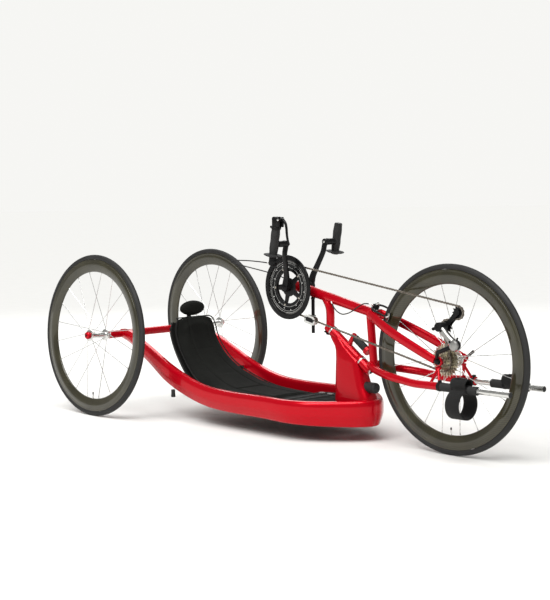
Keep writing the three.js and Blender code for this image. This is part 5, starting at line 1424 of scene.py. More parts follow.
@dataclass
class Frame:
    """The welded frame: rear axle beam, side rails, riser and head tube."""

    rail_length: float = 1262
    rail_span: float = 205
    rail_rise: float = 218
    rail_floor: float = 112
    rail_depth: float = 84
    rail_width: float = 34
    riser_rear: float = 1091
    riser_reach: float = 209
    riser_half: float = 38
    riser_base: float = 88
    riser_height: float = 257
    foot_place: float = 353
    foot_height: float = 97
    head_start: float = 502
    head_length: float = 186
    channel_radius: float = 21.4
    channel_start: float = 420
    barrel_bore: float = 16
    boss_at: float = 590.8
    hub_inner: float = 75
    body: str = "frame"
    rail_stations: tuple[tuple[float, ...], ...] = (
        (0, 0.9, 1, 0.46), (0.05, 0.93, 0.945, 0.62), (0.105, 0.96, 0.8, 0.74), (0.165, 0.985, 0.64, 0.84),
        (0.23, 1, 0.44, 1), (0.28, 1, 0.31, 1.01), (0.335, 1, 0.195, 0.99), (0.385, 1, 0.11, 0.97),
        (0.43, 1, 0.055, 0.96), (0.48, 1, 0.02, 0.97), (0.57, 1, 0, 0.98), (0.7, 1, 0, 1),
        (0.79, 0.99, -0.012, 1.03), (0.85, 0.905, -0.016, 1.06), (0.9, 0.73, -0.02, 1.1),
        (0.945, 0.5, -0.022, 1.14),
        (0.972, 0.335, -0.023, 1.16), (0.991, 0.18, -0.023, 1.17), (1, 0.07, -0.023, 1.17),
        (1, 0.0008, -0.023, 1.17))
    rail_section: tuple[tuple[float, float], ...] = (
        (-0.5, 0.4), (-0.36, 0.5), (0.3, 0.5), (0.5, 0.36), (0.5, -0.06), (0.12, -0.5), (-0.3, -0.5),
        (-0.5, -0.38))
    riser_stations: tuple[tuple[float, ...], ...] = (
        (0, 0.3, 0.8, 0.9), (0.1, 0.06, 0.82, 1), (0.22, 0, 0.808, 1), (0.3, 0, 0.782, 0.95),
        (0.44, 0, 0.68, 0.9),
        (0.63, 0, 0.595, 0.82), (0.82, 0, 0.519, 0.74), (0.94, -0.01, 0.31, 0.66), (1, -0.04, 0.208, 0.6),
        (1.12, -0.16, 0.05, 0.5))

    @property
    def beam_height(self) -> float:
        """The height of the axle beam's middle."""
        hub = LAYOUT.wheel_radius * math.cos(LAYOUT.camber)
        return hub - self.hub_inner * math.sin(LAYOUT.camber)

    def beam(self) -> None:
        """Builds the axle beam with its end flanges and its cambered stub axles."""
        form = Form()
        centre, _ = LAYOUT.rear_axis(Side.LEFT)
        half = centre.y - self.hub_inner * math.cos(LAYOUT.camber) - 12 * math.sin(LAYOUT.camber) - GAP
        middle = LAYOUT.at(0, 0, self.beam_height)
        ends = [(15, half), (16, half - 1), (16, half - 9), (16, half - 12), (15.9, half - 14)]
        profile = [(0, -half)] + [(r, -y) for r, y in ends] + ends[::-1] + [(0, half)]
        form.lathe(profile, stand(middle, LEFT, UP), 64)
        form.piece("beam_tube", Palette.RED, self.body, "axle_beam", sharp=35)
        pins = Form()
        for side in Side:
            centre, axis = LAYOUT.rear_axis(side)
            pins.bar(centre - axis * 90, centre + axis * 27.4, 6, 32)
            pins.ring(stand(centre, axis, UP), (6.2, 13.5), (-76.6, -75.4), 40)
        pins.piece("stub_axles", Palette.SILVER, self.body)

    def rail(self, side: Side) -> None:
        """Builds one side rail and its rubber foot."""
        sign, steps = side.value, 6
        path = [LAYOUT.at(x * self.rail_length, sign * y * self.rail_span,
                          self.rail_floor + z * self.rail_rise)
                for x, y, z, _ in self.rail_stations]
        depths = [row[3] for row in self.rail_stations]
        fine = smooth_path(path, steps)
        section = rounded(self.rail_section, 0.12, 3)
        rings = []
        for i, point in enumerate(fine):
            depth = self.rail_depth * between(depths, i, steps)
            along = heading(fine, i)
            along = Vector((along.x, along.y, 0)).normalized()
            out = along.cross(UP) * -sign
            rings.append([point + out * (u * self.rail_width) + UP * (v * depth) for u, v in section])
        form = Form().sweep(rings)
        form.piece(f"rail_{side.word}_shell", Palette.RED, self.body, f"rail_{side.word}", sharp=50)
        foot_at = LAYOUT.at(self.foot_place, sign * self.rail_span, self.foot_height)
        foot = Form().lathe([(0, 0), (7.6, 0), (8.8, 1.2), (9, 8), (8, 12), (8, 30), (0, 30)],
                            stand(foot_at, UP, FORWARD), 40)
        foot.piece(f"foot_{side.word}_rubber", Palette.RUBBER, self.body, f"rail_foot_{side.word}")

    def riser(self) -> None:
        """Builds the box riser, cut clear of the lower collar and the steerer, and the stop on its front."""
        outline = rounded([(-1, -1), (1, -1), (1, 1), (-1, 1)], 0.42, 4)
        fine = [tuple(Vector(a).lerp(Vector(b), k / 4))
                for a, b in zip(self.riser_stations, self.riser_stations[1:]) for k in range(4)]
        rings = []
        for height, rear, front, width in fine + [self.riser_stations[-1]]:
            x0 = self.riser_rear + self.riser_reach * rear
            x1 = self.riser_rear + self.riser_reach * front
            rings.append([
                LAYOUT.at((x0 + x1) / 2 + u * (x1 - x0) / 2, v * self.riser_half * width,
                          self.riser_base + self.riser_height * height) for u, v in outline])
        box = Form().sweep(rings).piece("riser_box", Palette.RED, self.body, "riser", sharp=50)
        low, middle, high = self.channel_start, self.head_start, self.head_start + self.head_length
        notch(box, Form().lathe(
            [(0, low), (self.channel_radius, low), (self.channel_radius, middle), (self.barrel_bore, middle),
             (self.barrel_bore, high), (0, high)], LAYOUT.steer_frame(), 64))
        crease(box, 40)
        low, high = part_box("riser_stop")
        tip = Vector((high.x / MM, 0, 200))
        start = low.x / MM - 6 - tip.x
        stop = Form().lathe([
            (0, start), (20, start), (20, -11), (19.2, -10.4), (19.2, -9.2), (20, -8.6), (18.6, -3.6),
            (15, -0.8),
            (12.4, 0), (5, 0), (4.4, -1.4), (0, -1.4)], stand(tip, FORWARD, UP), 56)
        stop.piece("stop_rubber", Palette.RUBBER, self.body, "riser_stop", sharp=40)

    def head(self) -> None:
        """Builds the head tube with its bearing cups and the boss for the bumper."""
        start, end = self.head_start, self.head_start + self.head_length
        frame = LAYOUT.steer_frame()
        profile = [
            (12.8, start + 7), (18.6, start + 7), (19.4, start + 7.8), (19.4, start + 16), (17.2, start + 22),
            (17, start + 26), (17, end - 26), (17.2, end - 22), (19.4, end - 16), (19.4, end - 7.8),
            (18.6, end - 7), (12.8, end - 7)]
        form = Form().lathe(profile, frame, 64, closed=True)
        form.bar(LAYOUT.on_steer(self.boss_at, 10), LAYOUT.on_steer(self.boss_at, 62), 9, 28, bevel=1.4)
        form.lathe([(0, 0), (10.4, 0), (11, 0.8), (11, 3), (9, 4.4), (0, 4.4)],
                   stand(LAYOUT.on_steer(self.boss_at, 17), LAYOUT.steer_out, UP), 32)
        form.piece("head_barrel", Palette.RED, self.body, "head_tube", sharp=35)
        cups = Form()
        for at, sign in ((start, 1), (end, -1)):
            cups.lathe([
                (12.8, at), (18.8, at), (20.3, at + sign * 1), (20.5, at + sign * 2.4),
                (19.6, at + sign * 3.2),
                (20.4, at + sign * 4), (20.2, at + sign * 6.2), (19.4, at + sign * 7.2),
                (12.8, at + sign * 7.2)],
                frame, 64, closed=True)
        cups.piece("bearing_rings", Palette.SILVER, self.body, sharp=30)

    def build(self) -> None:
        """Builds the whole frame."""
        self.beam()
        for side in Side:
            self.rail(side)
        self.riser()
        self.head()


@dataclass
class Fork:
    """The fork truss: boom, struts, blades, lower tubes, bumper and front axle."""

    boom_radius: float = 20
    boom_front: float = 17
    collar_radius: float = 19
    collar_length: float = 50
    bumper_start: float = 514.3
    bumper_length: float = 66
    blade_depth: float = 34
    blade_width: float = 17
    dropout: float = 68
    tube_radius: float = 14
    body: str = "fork"

    @property
    def collar_low(self) -> float:
        """Where the lower collar starts on the steering axis."""
        return Frame.head_start - self.collar_length - GAP

    @property
    def collar_high(self) -> float:
        """Where the upper collar starts on the steering axis."""
        return Frame.head_start + Frame.head_length + GAP

    @property
    def lower_crown(self) -> Vector:
        """The middle of the lower crown."""
        return LAYOUT.on_steer(self.collar_low, 30)

    def boom(self) -> None:
        """Builds the boom, the bottom bracket shell, the crown and the caliper's bolt."""
        a, b = LAYOUT.bracket, LAYOUT.crown
        points = [a.lerp(b, i / 20) for i in range(21)]
        form = Form().tube(points, lambda s: self.boom_radius + (self.boom_front - self.boom_radius) * s, 40)
        form.ring(stand(a, LEFT, UP), (9.4, 21), (-34, 34), 56, (0.8, 0.8))
        form.ring(stand(b, LEFT, UP), (0, 15), (-30, 30), 48, (1.4, 1.4))
        form.piece("boom_tube", Palette.RED, self.body, "boom", sharp=40)
        rise = -square_to(LAYOUT.blade_up)
        bolt = Form()
        for start, end, radius, sides in ((10, 45, 4, 24), (36.4, 42, 7, 6), (15.4, 18.6, 8.6, 32)):
            bolt.bar(b + rise * start, b + rise * end, radius, sides, bevel=0.5)
        bolt.piece("caliper_bolt", Palette.SILVER, self.body)
        welds = Form()
        way = LAYOUT.slope
        welds.lathe([(19.4, 19.6), (21.1, 19.2), (22.1, 20.6), (21.3, 22.2), (19.4, 22.6)], stand(a, way, UP),
                    56,
                    closed=True)
        welds.lathe([(16.4, -14.4), (18.2, -14.8), (19, -13.2), (18.4, -12), (16.4, -11.6)],
                    stand(b, way, UP), 56,
                    closed=True)
        welds.piece("boom_welds", Palette.RED, self.body, sharp=70)

    def collar(self, form: Form, start: float, length: float) -> None:
        """Adds a clamp collar on the steerer from a place up it."""
        form.ring(LAYOUT.steer_frame(), (12.9, self.collar_radius), (start, start + length), 56, (0.9, 0.9))

    def struts(self) -> None:
        """Builds the struts, their collars and bolts, the lower crown, the steerer and the bumper."""
        upper = LAYOUT.on_steer(self.collar_high + 13)
        slope = LAYOUT.slope
        top = LAYOUT.bracket + slope * (LAYOUT.post_place + 64)
        middle = upper.lerp(top, 0.62) + FORWARD * 16
        rear = Form().tube(smooth_path([top, middle, upper], 8), 16, 36)
        self.collar(rear, self.collar_high, 26)
        rear.piece("strut_rear_tube", Palette.RED, self.body, "rear_strut", sharp=40)
        front = Form()
        lower = self.lower_crown
        start = LAYOUT.crown - slope * 24
        front.tube([start.lerp(lower, i / 12) for i in range(13)], 15, 36)
        self.collar(front, self.collar_low, self.collar_length)
        front.ring(stand(lower, LEFT, UP), (0, 15), (-26, 26), 44, (1.2, 1.2))
        knob = LAYOUT.steer_frame(offset=52)
        front.ring(knob, (0, 17), (498, 514), 48, (1.4, 1.4))
        front.piece("strut_front_tube", Palette.RED, self.body, "front_strut", sharp=40)
        frame = LAYOUT.steer_frame()
        steerer = Form().ring(frame, (9, 12.5), (self.collar_low - 5, self.collar_high + 31), 56, (0.9, 0.9))
        steerer.lathe([(0, 716.5), (9.2, 716.5), (9.2, 719), (4, 719), (3.4, 717.6), (0, 717.6)], frame, 40)
        steerer.piece("steerer_tube", Palette.SILVER, self.body, "steerer")
        pinch = Form()
        for at in (self.collar_high + 7, self.collar_high + 19):
            pinch.block(LAYOUT.steer_frame(at, -19), (10, 20, 9), 1.5)
            pinch.pin(LAYOUT.on_steer(at, -20), -14, 14, 3.4, 20, 0.5)
        # the lower bolts are sunk, because the riser's channel is only 2.4 mm wider than the collar
        for at in (self.collar_low + 10, self.collar_low + 40):
            pinch.block(LAYOUT.steer_frame(at, -15.5), (10, 10, 9), 1)
            pinch.pin(LAYOUT.on_steer(at, -18.2), -5.9, 5.9, 2.2, 16, 0.4)
        pinch.piece("collar_bolts", Palette.BLACK, self.body)
        start, end = self.bumper_start, self.bumper_start + self.bumper_length
        ribs = [(0, start), (12.6, start), (13.6, start + 0.9)]
        for i in range(9):
            at = start + 4 + i * 58 / 8
            ribs += [(13.9, at - 2.4), (14, at), (13.9, at + 2.4), (13.1, at + 3.6)]
        ribs[-1:] = [(12.6, end), (0, end)]
        bumper = Form().lathe(ribs, knob, 48)
        bumper.piece("bumper_rubber", Palette.RUBBER, self.body, "centering_bumper", sharp=60)

    def blades(self) -> None:
        """Builds the flat fork blades with their dropouts."""
        shares = [(0, 0.35, 1), (0.12, 0.55, 1), (0.28, 0.78, 1), (0.5, 0.94, 1), (0.8, 1, 0.95), (1, 1, 0.8)]
        hub, steps = LAYOUT.front_hub, 8
        sizes = [row[2] for row in shares]
        section = oval(40, 0.8, 0.85)
        for side in Side:
            sign = side.value
            path = []
            for along, out, _ in shares:
                point = LAYOUT.crown.lerp(hub, along)
                point.y = sign * out * (self.dropout + self.blade_width / 4)
                path.append(point)
            fine = smooth_path(path, steps)
            rings = []
            for i, point in enumerate(fine):
                size = between(sizes, i, steps)
                along = heading(fine, i)
                rise = LEFT.cross(along).normalized()
                across = along.cross(rise)
                rings.append([point + across * (u * self.blade_width / 2 * size)
                              + rise * (v * self.blade_depth / 2 * size) for u, v in section])
            cutoff = next(i for i, p in enumerate(fine) if (p - hub).xz.length < 20)
            form = Form().sweep(rings[:cutoff + 1])
            frame = stand(hub, LEFT * sign, FORWARD)
            form.ring(frame, (5.4, 17), (65, 71), 56, (1, 0.8))
            form.piece(f"blade_{side.word}_shell", Palette.RED, self.body, f"fork_blade_{side.word}",
                       sharp=40)
            face = Form().lathe([(5.4, 70.8), (11.5, 70.8), (12, 71.3), (5.4, 71.3)], frame, 40, closed=True)
            face.piece(f"dropout_{side.word}_face", Palette.SILVER, self.body)

    def lower_path(self, side: Side) -> list[Vector]:
        """Gives the middle line of a lower tube."""
        crown, end = self.lower_crown, LAYOUT.lower_end(side)
        shares = [(0, 0.19, 1), (0.12, 0.5, 0.72), (0.36, 0.88, 0.42), (0.56, 0.97, 0.16), (0.7, 1, 0),
                  (0.85, 1, 0), (1, 1, 0)]
        return [Vector((crown.x + along * (end.x - crown.x), out * end.y, end.z + rise * (crown.z - end.z)))
                for along, out, rise in shares]

    def lower_tube(self, side: Side) -> None:
        """Builds a lower tube, its truss legs and its clamp."""
        path = self.lower_path(side)
        form = Form().tube(smooth_path(path, 6), self.tube_radius, 36)
        root = LAYOUT.front_hub + LEFT * (side.value * self.dropout) - UP * 22.3
        form.bar(root - FORWARD * 10.2, root + FORWARD * 10.2, 5, 24, bevel=0.8)
        for share in (-0.55, 0.75):
            foot = path[-1] + FORWARD * ((share - 1) * LAYOUT.lower_reach)
            form.bar(root, foot, 5, 24)
            way = (foot - root).normalized()
            form.lathe([(4.6, -15.6), (6, -16), (7, -14.6), (6, -13.2), (4.6, -13)],
                       stand(foot, way, FORWARD), 28,
                       closed=True)
        form.piece(f"lower_{side.word}_tube", Palette.RED, self.body, f"lower_tube_{side.word}", sharp=40)
        end = path[-1]
        frame = stand(end, FORWARD, UP)
        clamp = Form().ring(frame, (10.5, 16.2), (-13, -0.2), 48, (0.8, 0.8))
        clamp.block(frame @ Matrix.Translation((18, 0, -6.6)), (8, 10, 11), 1.2)
        clamp.pin(end + UP * 18.5 - FORWARD * 6.6, -7, 7, 2.7, 20, 0.4)
        clamp.piece(f"foot_clamp_{side.word}", Palette.BLACK, self.body, sharp=35)

    def axle(self) -> None:
        """Builds the front axle, its nut and its quick lever."""
        hub = LAYOUT.front_hub
        form = Form().pin(hub, -80, 80.3, 5, 32, 0.6)
        form.piece("axle_rod", Palette.STEEL, self.body, "front_axle")
        nut = Form().pin(hub, -73.2, -80.3, 10, 6, 0.9)
        nut.pin(hub, -71.4, -73.4, 11.5, 36, 0.5)
        nut.piece("axle_nut", Palette.GLOSS, self.body)
        cam = Form()
        frame = stand(hub, LEFT, FORWARD)
        cam.lathe([(5.4, 71.4), (9.2, 71.4), (10, 72.2), (10, 84), (8.6, 85.4), (5.4, 85.4)], frame, 44,
                  closed=True)
        root = hub + LEFT * 80.3
        way = upward(LAYOUT.head_angle)
        points = [root + way * d + LEFT * rise for d, rise in ((4, 0), (16, 0.6), (32, 0.4), (46, -1))]
        cam.tube(smooth_path(points, 5), lambda s: 4.4 + 1.4 * s - (3.4 * max(0, s - 0.93) / 0.07), 24,
                 flatten=0.55)
        cam.piece("quick_lever", Palette.GLOSS, "axle_lever_body", "front_axle_lever", sharp=40)

    def build(self) -> None:
        """Builds the whole fork."""
        self.boom()
        self.struts()
        self.blades()
        for side in Side:
            self.lower_tube(side)
        self.axle()


def applied(thing: bpy.types.Object) -> None:
    """Makes a piece's modifiers part of its mesh."""
    graph = bpy.context.evaluated_depsgraph_get()
    mesh = bpy.data.meshes.new_from_object(thing.evaluated_get(graph))
    thing.modifiers.clear()
    thing.data = mesh


def smooth_all(thing: bpy.types.Object) -> None:
    """Shades every face of a piece smooth."""
    thing.data.polygons.foreach_set("use_smooth", [True] * len(thing.data.polygons))


def notch(thing: bpy.types.Object, cutter: Form) -> None:
    """Cuts a form out of a piece, and keeps the piece's finish.

    Args:
        thing: the piece.
        cutter: the closed form that is taken away.
    """
    paint = thing.data.materials[0]
    tool = placed("cutter", cutter.pattern())
    tool.data.transform(Matrix.Scale(MM, 4))
    boolean = thing.modifiers.new("Notch", "BOOLEAN")
    boolean.object = tool
    boolean.operation = "DIFFERENCE"
    boolean.solver = "EXACT"
    applied(thing)
    bpy.data.objects.remove(tool)
    thing.data.materials.clear()
    thing.data.materials.append(paint)


def crease(thing: bpy.types.Object, sharp: float) -> None:
    """Shades a piece smooth, apart from edges over so many degrees."""
    bm = bmesh.new()
    bm.from_mesh(thing.data)
    shade(bm, sharp)
    bm.to_mesh(thing.data)
    bm.free()


@dataclass
class Padding:
    """How a padded piece is swollen: remeshed, filled by cloth pressure, and subdivided."""

    voxel: float = 5.0
    pressure: float = 4.0
    cap: float = 6.0
    frames: int = 20

    def swell(self, thing: bpy.types.Object, keep: Callable[[Vector], float]) -> None:
        """Fills a pad.

        Args:
            thing: the pad, a closed mesh in metres.
            keep: gives, for a point, how much of its swelling it may keep, from 0 to 1.
        """
        remesh = thing.modifiers.new("Remesh", "REMESH")
        remesh.mode = "VOXEL"
        remesh.voxel_size = self.voxel * MM
        applied(thing)
        rest = [v.co.copy() for v in thing.data.vertices]
        cloth = thing.modifiers.new("Cloth", "CLOTH")
        cloth.settings.use_pressure = True
        cloth.settings.uniform_pressure_force = self.pressure
        cloth.settings.effector_weights.gravity = 0
        cloth.settings.quality = 4
        cloth.point_cache.frame_end = self.frames
        for number in range(1, self.frames + 1):
            bpy.context.scene.frame_set(number)
        applied(thing)
        bpy.context.scene.frame_set(1)
        for vert, start in zip(thing.data.vertices, rest):
            move = vert.co - start
            most = self.cap * MM * keep(start)
            if move.length > most:
                move *= most / move.length
            vert.co = start + move
        finer = thing.modifiers.new("Subdivision", "SUBSURF")
        finer.levels = 1
        finer.render_levels = 1
        applied(thing)


@dataclass
class Seat:
    """The cushion, its pan, the frame behind it, the head pad and the leg sling."""

    front: float = 246
    length: float = 574
    top: float = 396
    floor: float = 105
    half_width: float = 168
    thickness: float = 34
    pan_thickness: float = 3
    pan_half: float = 200
    pan_extra: float = 180
    tube_radius: float = 8
    tube_span: float = 92
    pad_place: float = 236
    pad_height: float = 438
    pad_half: tuple[float, float, float] = (19, 66, 31)
    sling_start: float = 842
    sling_length: float = 368
    sling_height: float = 108
    rest_share: float = 0.72
    strip_span: float = 179
    seam_share: float = 0.42
    seam_step: float = 168
    seam_width: float = 4.5
    quilt: tuple[float, float] = (56, 70)
    seam_pair: float = 8
    body: str = "frame"
    stations: tuple[tuple[float, float, float], ...] = (
        (-0.012, 1, 0.46), (0, 0.969, 0.59), (0.008, 0.877, 0.65), (0.022, 0.755, 0.67), (0.06, 0.606, 0.69),
        (0.122, 0.455, 0.72), (0.192, 0.335, 0.77), (0.272, 0.235, 0.84), (0.38, 0.14, 0.92),
        (0.494, 0.068, 0.98),
        (0.617, 0.026, 1), (0.79, 0.007, 1), (0.94, 0, 0.97), (1, 0, 0.9))

    def line(self, extra: float = 0) -> tuple[list[Vector], list[float]]:
        """Gives the seat's middle line and its widths, with a stretch added at the front."""
        rows = list(self.stations)
        if extra:
            rows = rows[:-1] + [(1 + extra / self.length, 0, 1)]
        points = [LAYOUT.at(self.front + x * self.length, 0, self.floor + z * (self.top - self.floor))
                  for x, z, _ in rows]
        return points, [w for _, _, w in rows]

    def surface(self, steps: int, extra: float = 0) -> list[tuple[Vector, Vector, float]]:
        """Gives points along the seat, each with its normal and its share of the width."""
        points, widths = self.line(extra)
        fine = smooth_path(points, steps)
        out = []
        for i, point in enumerate(fine):
            out.append((point, square_to(heading(fine, i)), between(widths, i, steps)))
        return out

    def cushion(self) -> None:
        """Builds the seat cushion with its sewn channels and its piping."""
        rows = self.surface(4)
        section = oval(44, 0.42, 0.62)
        rings = []
        for i, (point, normal, width) in enumerate(rows):
            taper = min(1.0, 0.5 + min(i, len(rows) - 1 - i) * 0.17)
            half = self.half_width * width - 3
            ring = []
            for u, v in section:
                lift = v * (self.thickness / 2 - 1) + (5.5 * (1 - u * u) if v > 0 else 0)
                ring.append(point + LEFT * (u * half) + normal * (taper * lift))
            rings.append(ring)
        thing = Form().sweep(rings).piece("seat_pad", Palette.CLOTH, self.body, "seat_cushion")
        fine = self.surface(6)

        def nearest(p: Vector) -> int:
            """Gives which point of the seat's middle line is nearest to a point in millimetres."""
            return min(range(len(fine)), key=lambda k: (fine[k][0].x - p.x) ** 2 + (fine[k][0].z - p.z) ** 2)

        def keep(p: Vector) -> float:
            """Keeps the swelling on the top and the sides only."""
            point, normal, _ = fine[nearest(p / MM)]
            level = (p / MM - point).dot(normal)
            return max(0.0, min(1.0, (level + 12) / 14))

        Padding(cap=5.0).swell(thing, keep)
        travel = [0.0]
        for (a, _, _), (b, _, _) in zip(fine, fine[1:]):
            travel.append(travel[-1] + (b - a).length)
        for vert in thing.data.vertices:
            p = vert.co / MM
            number = nearest(p)
            point, normal, width = fine[number]
            level = (p - point).dot(normal)
            if level < 4:
                continue
            half = self.half_width * width
            share = abs(p.y) / half
            depth = 3.6 * math.exp(-((share - self.seam_share) * half / self.seam_width) ** 2)
            cross = (travel[number] + 20) % self.seam_step
            if share < self.seam_share:
                gap = min(cross, self.seam_step - cross)
                depth += 3.2 * math.exp(-(gap / self.seam_width) ** 2)
            vert.co -= normal * (depth * MM)
        smooth_all(thing)
        edge = []
        for sign in (1, -1):
            side = [point + LEFT * (sign * (self.half_width * width - 1.5)) + normal * 9
                    for point, normal, width in rows[1:-1:2]]
            edge += side if sign > 0 else list(reversed(side))
        closed = smooth_path(edge + [edge[0]], 3)[:-1]
        count = len(closed)
        rings = []
        for i, point in enumerate(closed):
            along = (closed[(i + 1) % count] - closed[i - 1]).normalized()
            across = along.orthogonal().normalized() if abs(along.z) > 0.98 else along.cross(UP).normalized()
            rise = along.cross(across)
            rings.append([point + across * (2.6 * math.cos(a)) + rise * (2.6 * math.sin(a))
                          for a in angles(10)])
        Form().sweep(rings, False, True).piece("seat_piping", Palette.PIPING, self.body)

    def pan(self) -> None:
        """Builds the woven carbon pan with its rolled edges, its strips and its rivets."""
        rows = self.surface(4, self.pan_extra)[4:]
        drop = self.thickness / 2 + GAP
        under = drop + self.pan_thickness
        form = Form()
        rings = []
        for point, normal, width in rows:
            half = min(self.half_width * width * 1.02, self.pan_half)
            outline = rounded([(-half, -drop), (half, -drop), (half, -under), (-half, -under)], 1.2, 2)
            rings.append([point + LEFT * u + normal * v for u, v in outline])
        form.sweep(rings)
        for sign in (-1, 1):
            bead = []
            for point, normal, width in rows:
                half = min(self.half_width * width * 1.02, self.pan_half)
                bead.append(point + LEFT * (sign * half) - normal * (drop + 2))
            form.tube(bead, 3.2, 14, hint=LEFT)
            start = self.front + self.length * self.rest_share
            reach = self.length * (1 - self.rest_share) + self.pan_extra
            middle = LAYOUT.at(start + reach / 2, sign * self.strip_span, self.floor - drop - 1.5)
            form.block(stand(middle, UP, FORWARD), (reach, 15, 3), 0.6)
        form.piece("pan_shell", Palette.SHELL, self.body, "seat_pan", sharp=45)
        rivets = Form()
        for sign in (-1, 1):
            for i in range(6):
                spot = LAYOUT.at(690 + i * 58, sign * self.strip_span, self.floor - drop + 0.2)
                rivets.lathe([(0, 0), (5.4, 0), (5.4, 0.8), (3.6, 2.2), (0, 2.6)], stand(spot, UP, FORWARD),
                             24)
        rivets.piece("pan_rivets", Palette.SILVER, self.body)

    def back_frame(self) -> None:
        """Builds the tubes behind the back and the post that carries the head pad."""
        points, _ = self.line()
        rows = points[1:8]
        line = []
        drop = self.thickness / 2 + GAP + self.pan_thickness + 1.8 + self.tube_radius
        for i, point in enumerate(rows):
            line.append(point - square_to(heading(rows, i)) * drop)
        form = Form()
        for sign in (-1, 1):
            path = smooth_path([p + LEFT * (sign * self.tube_span) for p in line], 6)
            form.tube(path, self.tube_radius, 28)
        low, high = line[-2], line[1]
        form.pin(low, -189, 189, self.tube_radius, 28, 0.6)
        form.pin(high, -self.tube_span, self.tube_span, self.tube_radius, 28)
        pad = LAYOUT.at(self.pad_place, 0, self.pad_height)
        top = pad - FORWARD * (self.pad_half[0] + 9)
        form.bar(high, top, 9, 32, bevel=1)
        form.bar(top, pad - FORWARD * 15, 9, 32, bevel=1)
        for sign in (-1, 1):
            for spot in (low, high):
                form.ring(stand(spot + LEFT * (sign * self.tube_span), LEFT, UP), (8, 10.4), (-12, 12), 32,
                          (0.8, 1))
        form.piece("back_tubes", Palette.BLACK, self.body, "backrest_frame", sharp=40)
        knob = Form()
        spot = high.lerp(top, 0.45)
        knob.pin(spot, -9, -15, 3.4, 20, 0.4)
        knob.pin(spot, -15, -24, 8, 10, 1.6)
        knob.ring(stand(spot, top - high, UP), (9.2, 12.2), (-9, 9), 36, (0.7, 1))
        knob.piece("head_post_clamp", Palette.GLOSS, self.body)

    def head_pad(self) -> None:
        """Builds the swollen head pad with its piping."""
        centre = LAYOUT.at(self.pad_place, 0, self.pad_height)
        deep, wide, high = (h - 2.2 for h in self.pad_half)
        rings = []
        for i in range(13):
            angle = (i / 12 * 2 - 1) * math.pi * 0.47
            scale = math.cos(angle) ** 0.45
            rings.append([
                centre + FORWARD * (deep * math.sin(angle)) + LEFT * (wide * scale * math.cos(a))
                + UP * (high * scale * math.sin(a)) for a in angles(32)])
        thing = Form().sweep(rings).piece("head_pad", Palette.CLOTH, self.body, "headrest_pad")
        Padding(voxel=4.0, cap=2.4).swell(thing, lambda p: 1.0)
        smooth_all(thing)
        loop = [centre + LEFT * (wide * 1.01 * math.cos(a)) + UP * (high * 1.01 * math.sin(a))
                for a in angles(48)]
        rings = [[p + FORWARD * (2.1 * math.cos(b)) + (p - centre).normalized() * (2.1 * math.sin(b))
                  for b in angles(10)] for p in loop]
        Form().sweep(rings, False, True).piece("head_piping", Palette.PIPING, self.body)

    def rail_half(self, place: float) -> float:
        """Gives the rails' half span at a place along them."""
        frame = Frame()
        share = place / frame.rail_length
        rows = frame.rail_stations
        for (x0, y0, _, _), (x1, y1, _, _) in zip(rows, rows[1:]):
            if x1 >= share:
                return frame.rail_span * (y0 + (y1 - y0) * (share - x0) / (x1 - x0))
        return frame.rail_span * rows[-1][1]

    def sling_half(self, place: float) -> float:
        """Gives the half width between the rails' inner faces at a place along them."""
        step = 6.0
        slope = (self.rail_half(place + step) - self.rail_half(place - step)) / (2 * step)
        return self.rail_half(place) - 19 * math.hypot(1, slope) - 0.8

    @staticmethod
    def sling_rise(share: float) -> float:
        """Gives how high the sling's top stands at a share of its half width."""
        rows = [(0, 24), (0.5, 23.4), (0.86, 19.2), (1.0, 12)]
        for (s0, z0), (s1, z1) in zip(rows, rows[1:]):
            if share <= s1:
                return z0 + (z1 - z0) * (share - s0) / (s1 - s0)
        return rows[-1][1]

    def sling_rim(self) -> list[tuple[float, float]]:
        """Gives the sling's outline as shares of its half width and heights in millimetres."""
        top = [(k / 8, self.sling_rise(abs(k / 8))) for k in range(-8, 9)]
        under = [(k / 4, 0.0) for k in range(4, -5, -1)]
        return top + under

    def sling(self) -> None:
        """Builds the quilted leg sling between the rails, its straps and its buckles."""
        rows = []
        for i in range(41):
            share = i / 40
            place = self.sling_start + share * self.sling_length
            thick = min(1.0, 0.5 + min(share / 0.06, (1 - share) / 0.1) * 0.5)
            inner = self.sling_half(place)
            rows.append([LAYOUT.at(place, y * inner, self.sling_height + rise * thick)
                         for y, rise in self.sling_rim()])
        thing = Form().sweep(rows).piece("sling_pad", Palette.CLOTH, self.body, "leg_sling")
        frame = Frame()
        notch(thing, Form().block(stand(LAYOUT.at(frame.riser_rear + 150, 0, 160), UP, FORWARD),
                                  (310, frame.riser_half * 2 + 6, 140), 12))

        def keep(p: Vector) -> float:
            """Keeps the swelling on the top only."""
            return max(0.0, min(1.0, (p.z / MM - self.sling_height - 12) / 8))

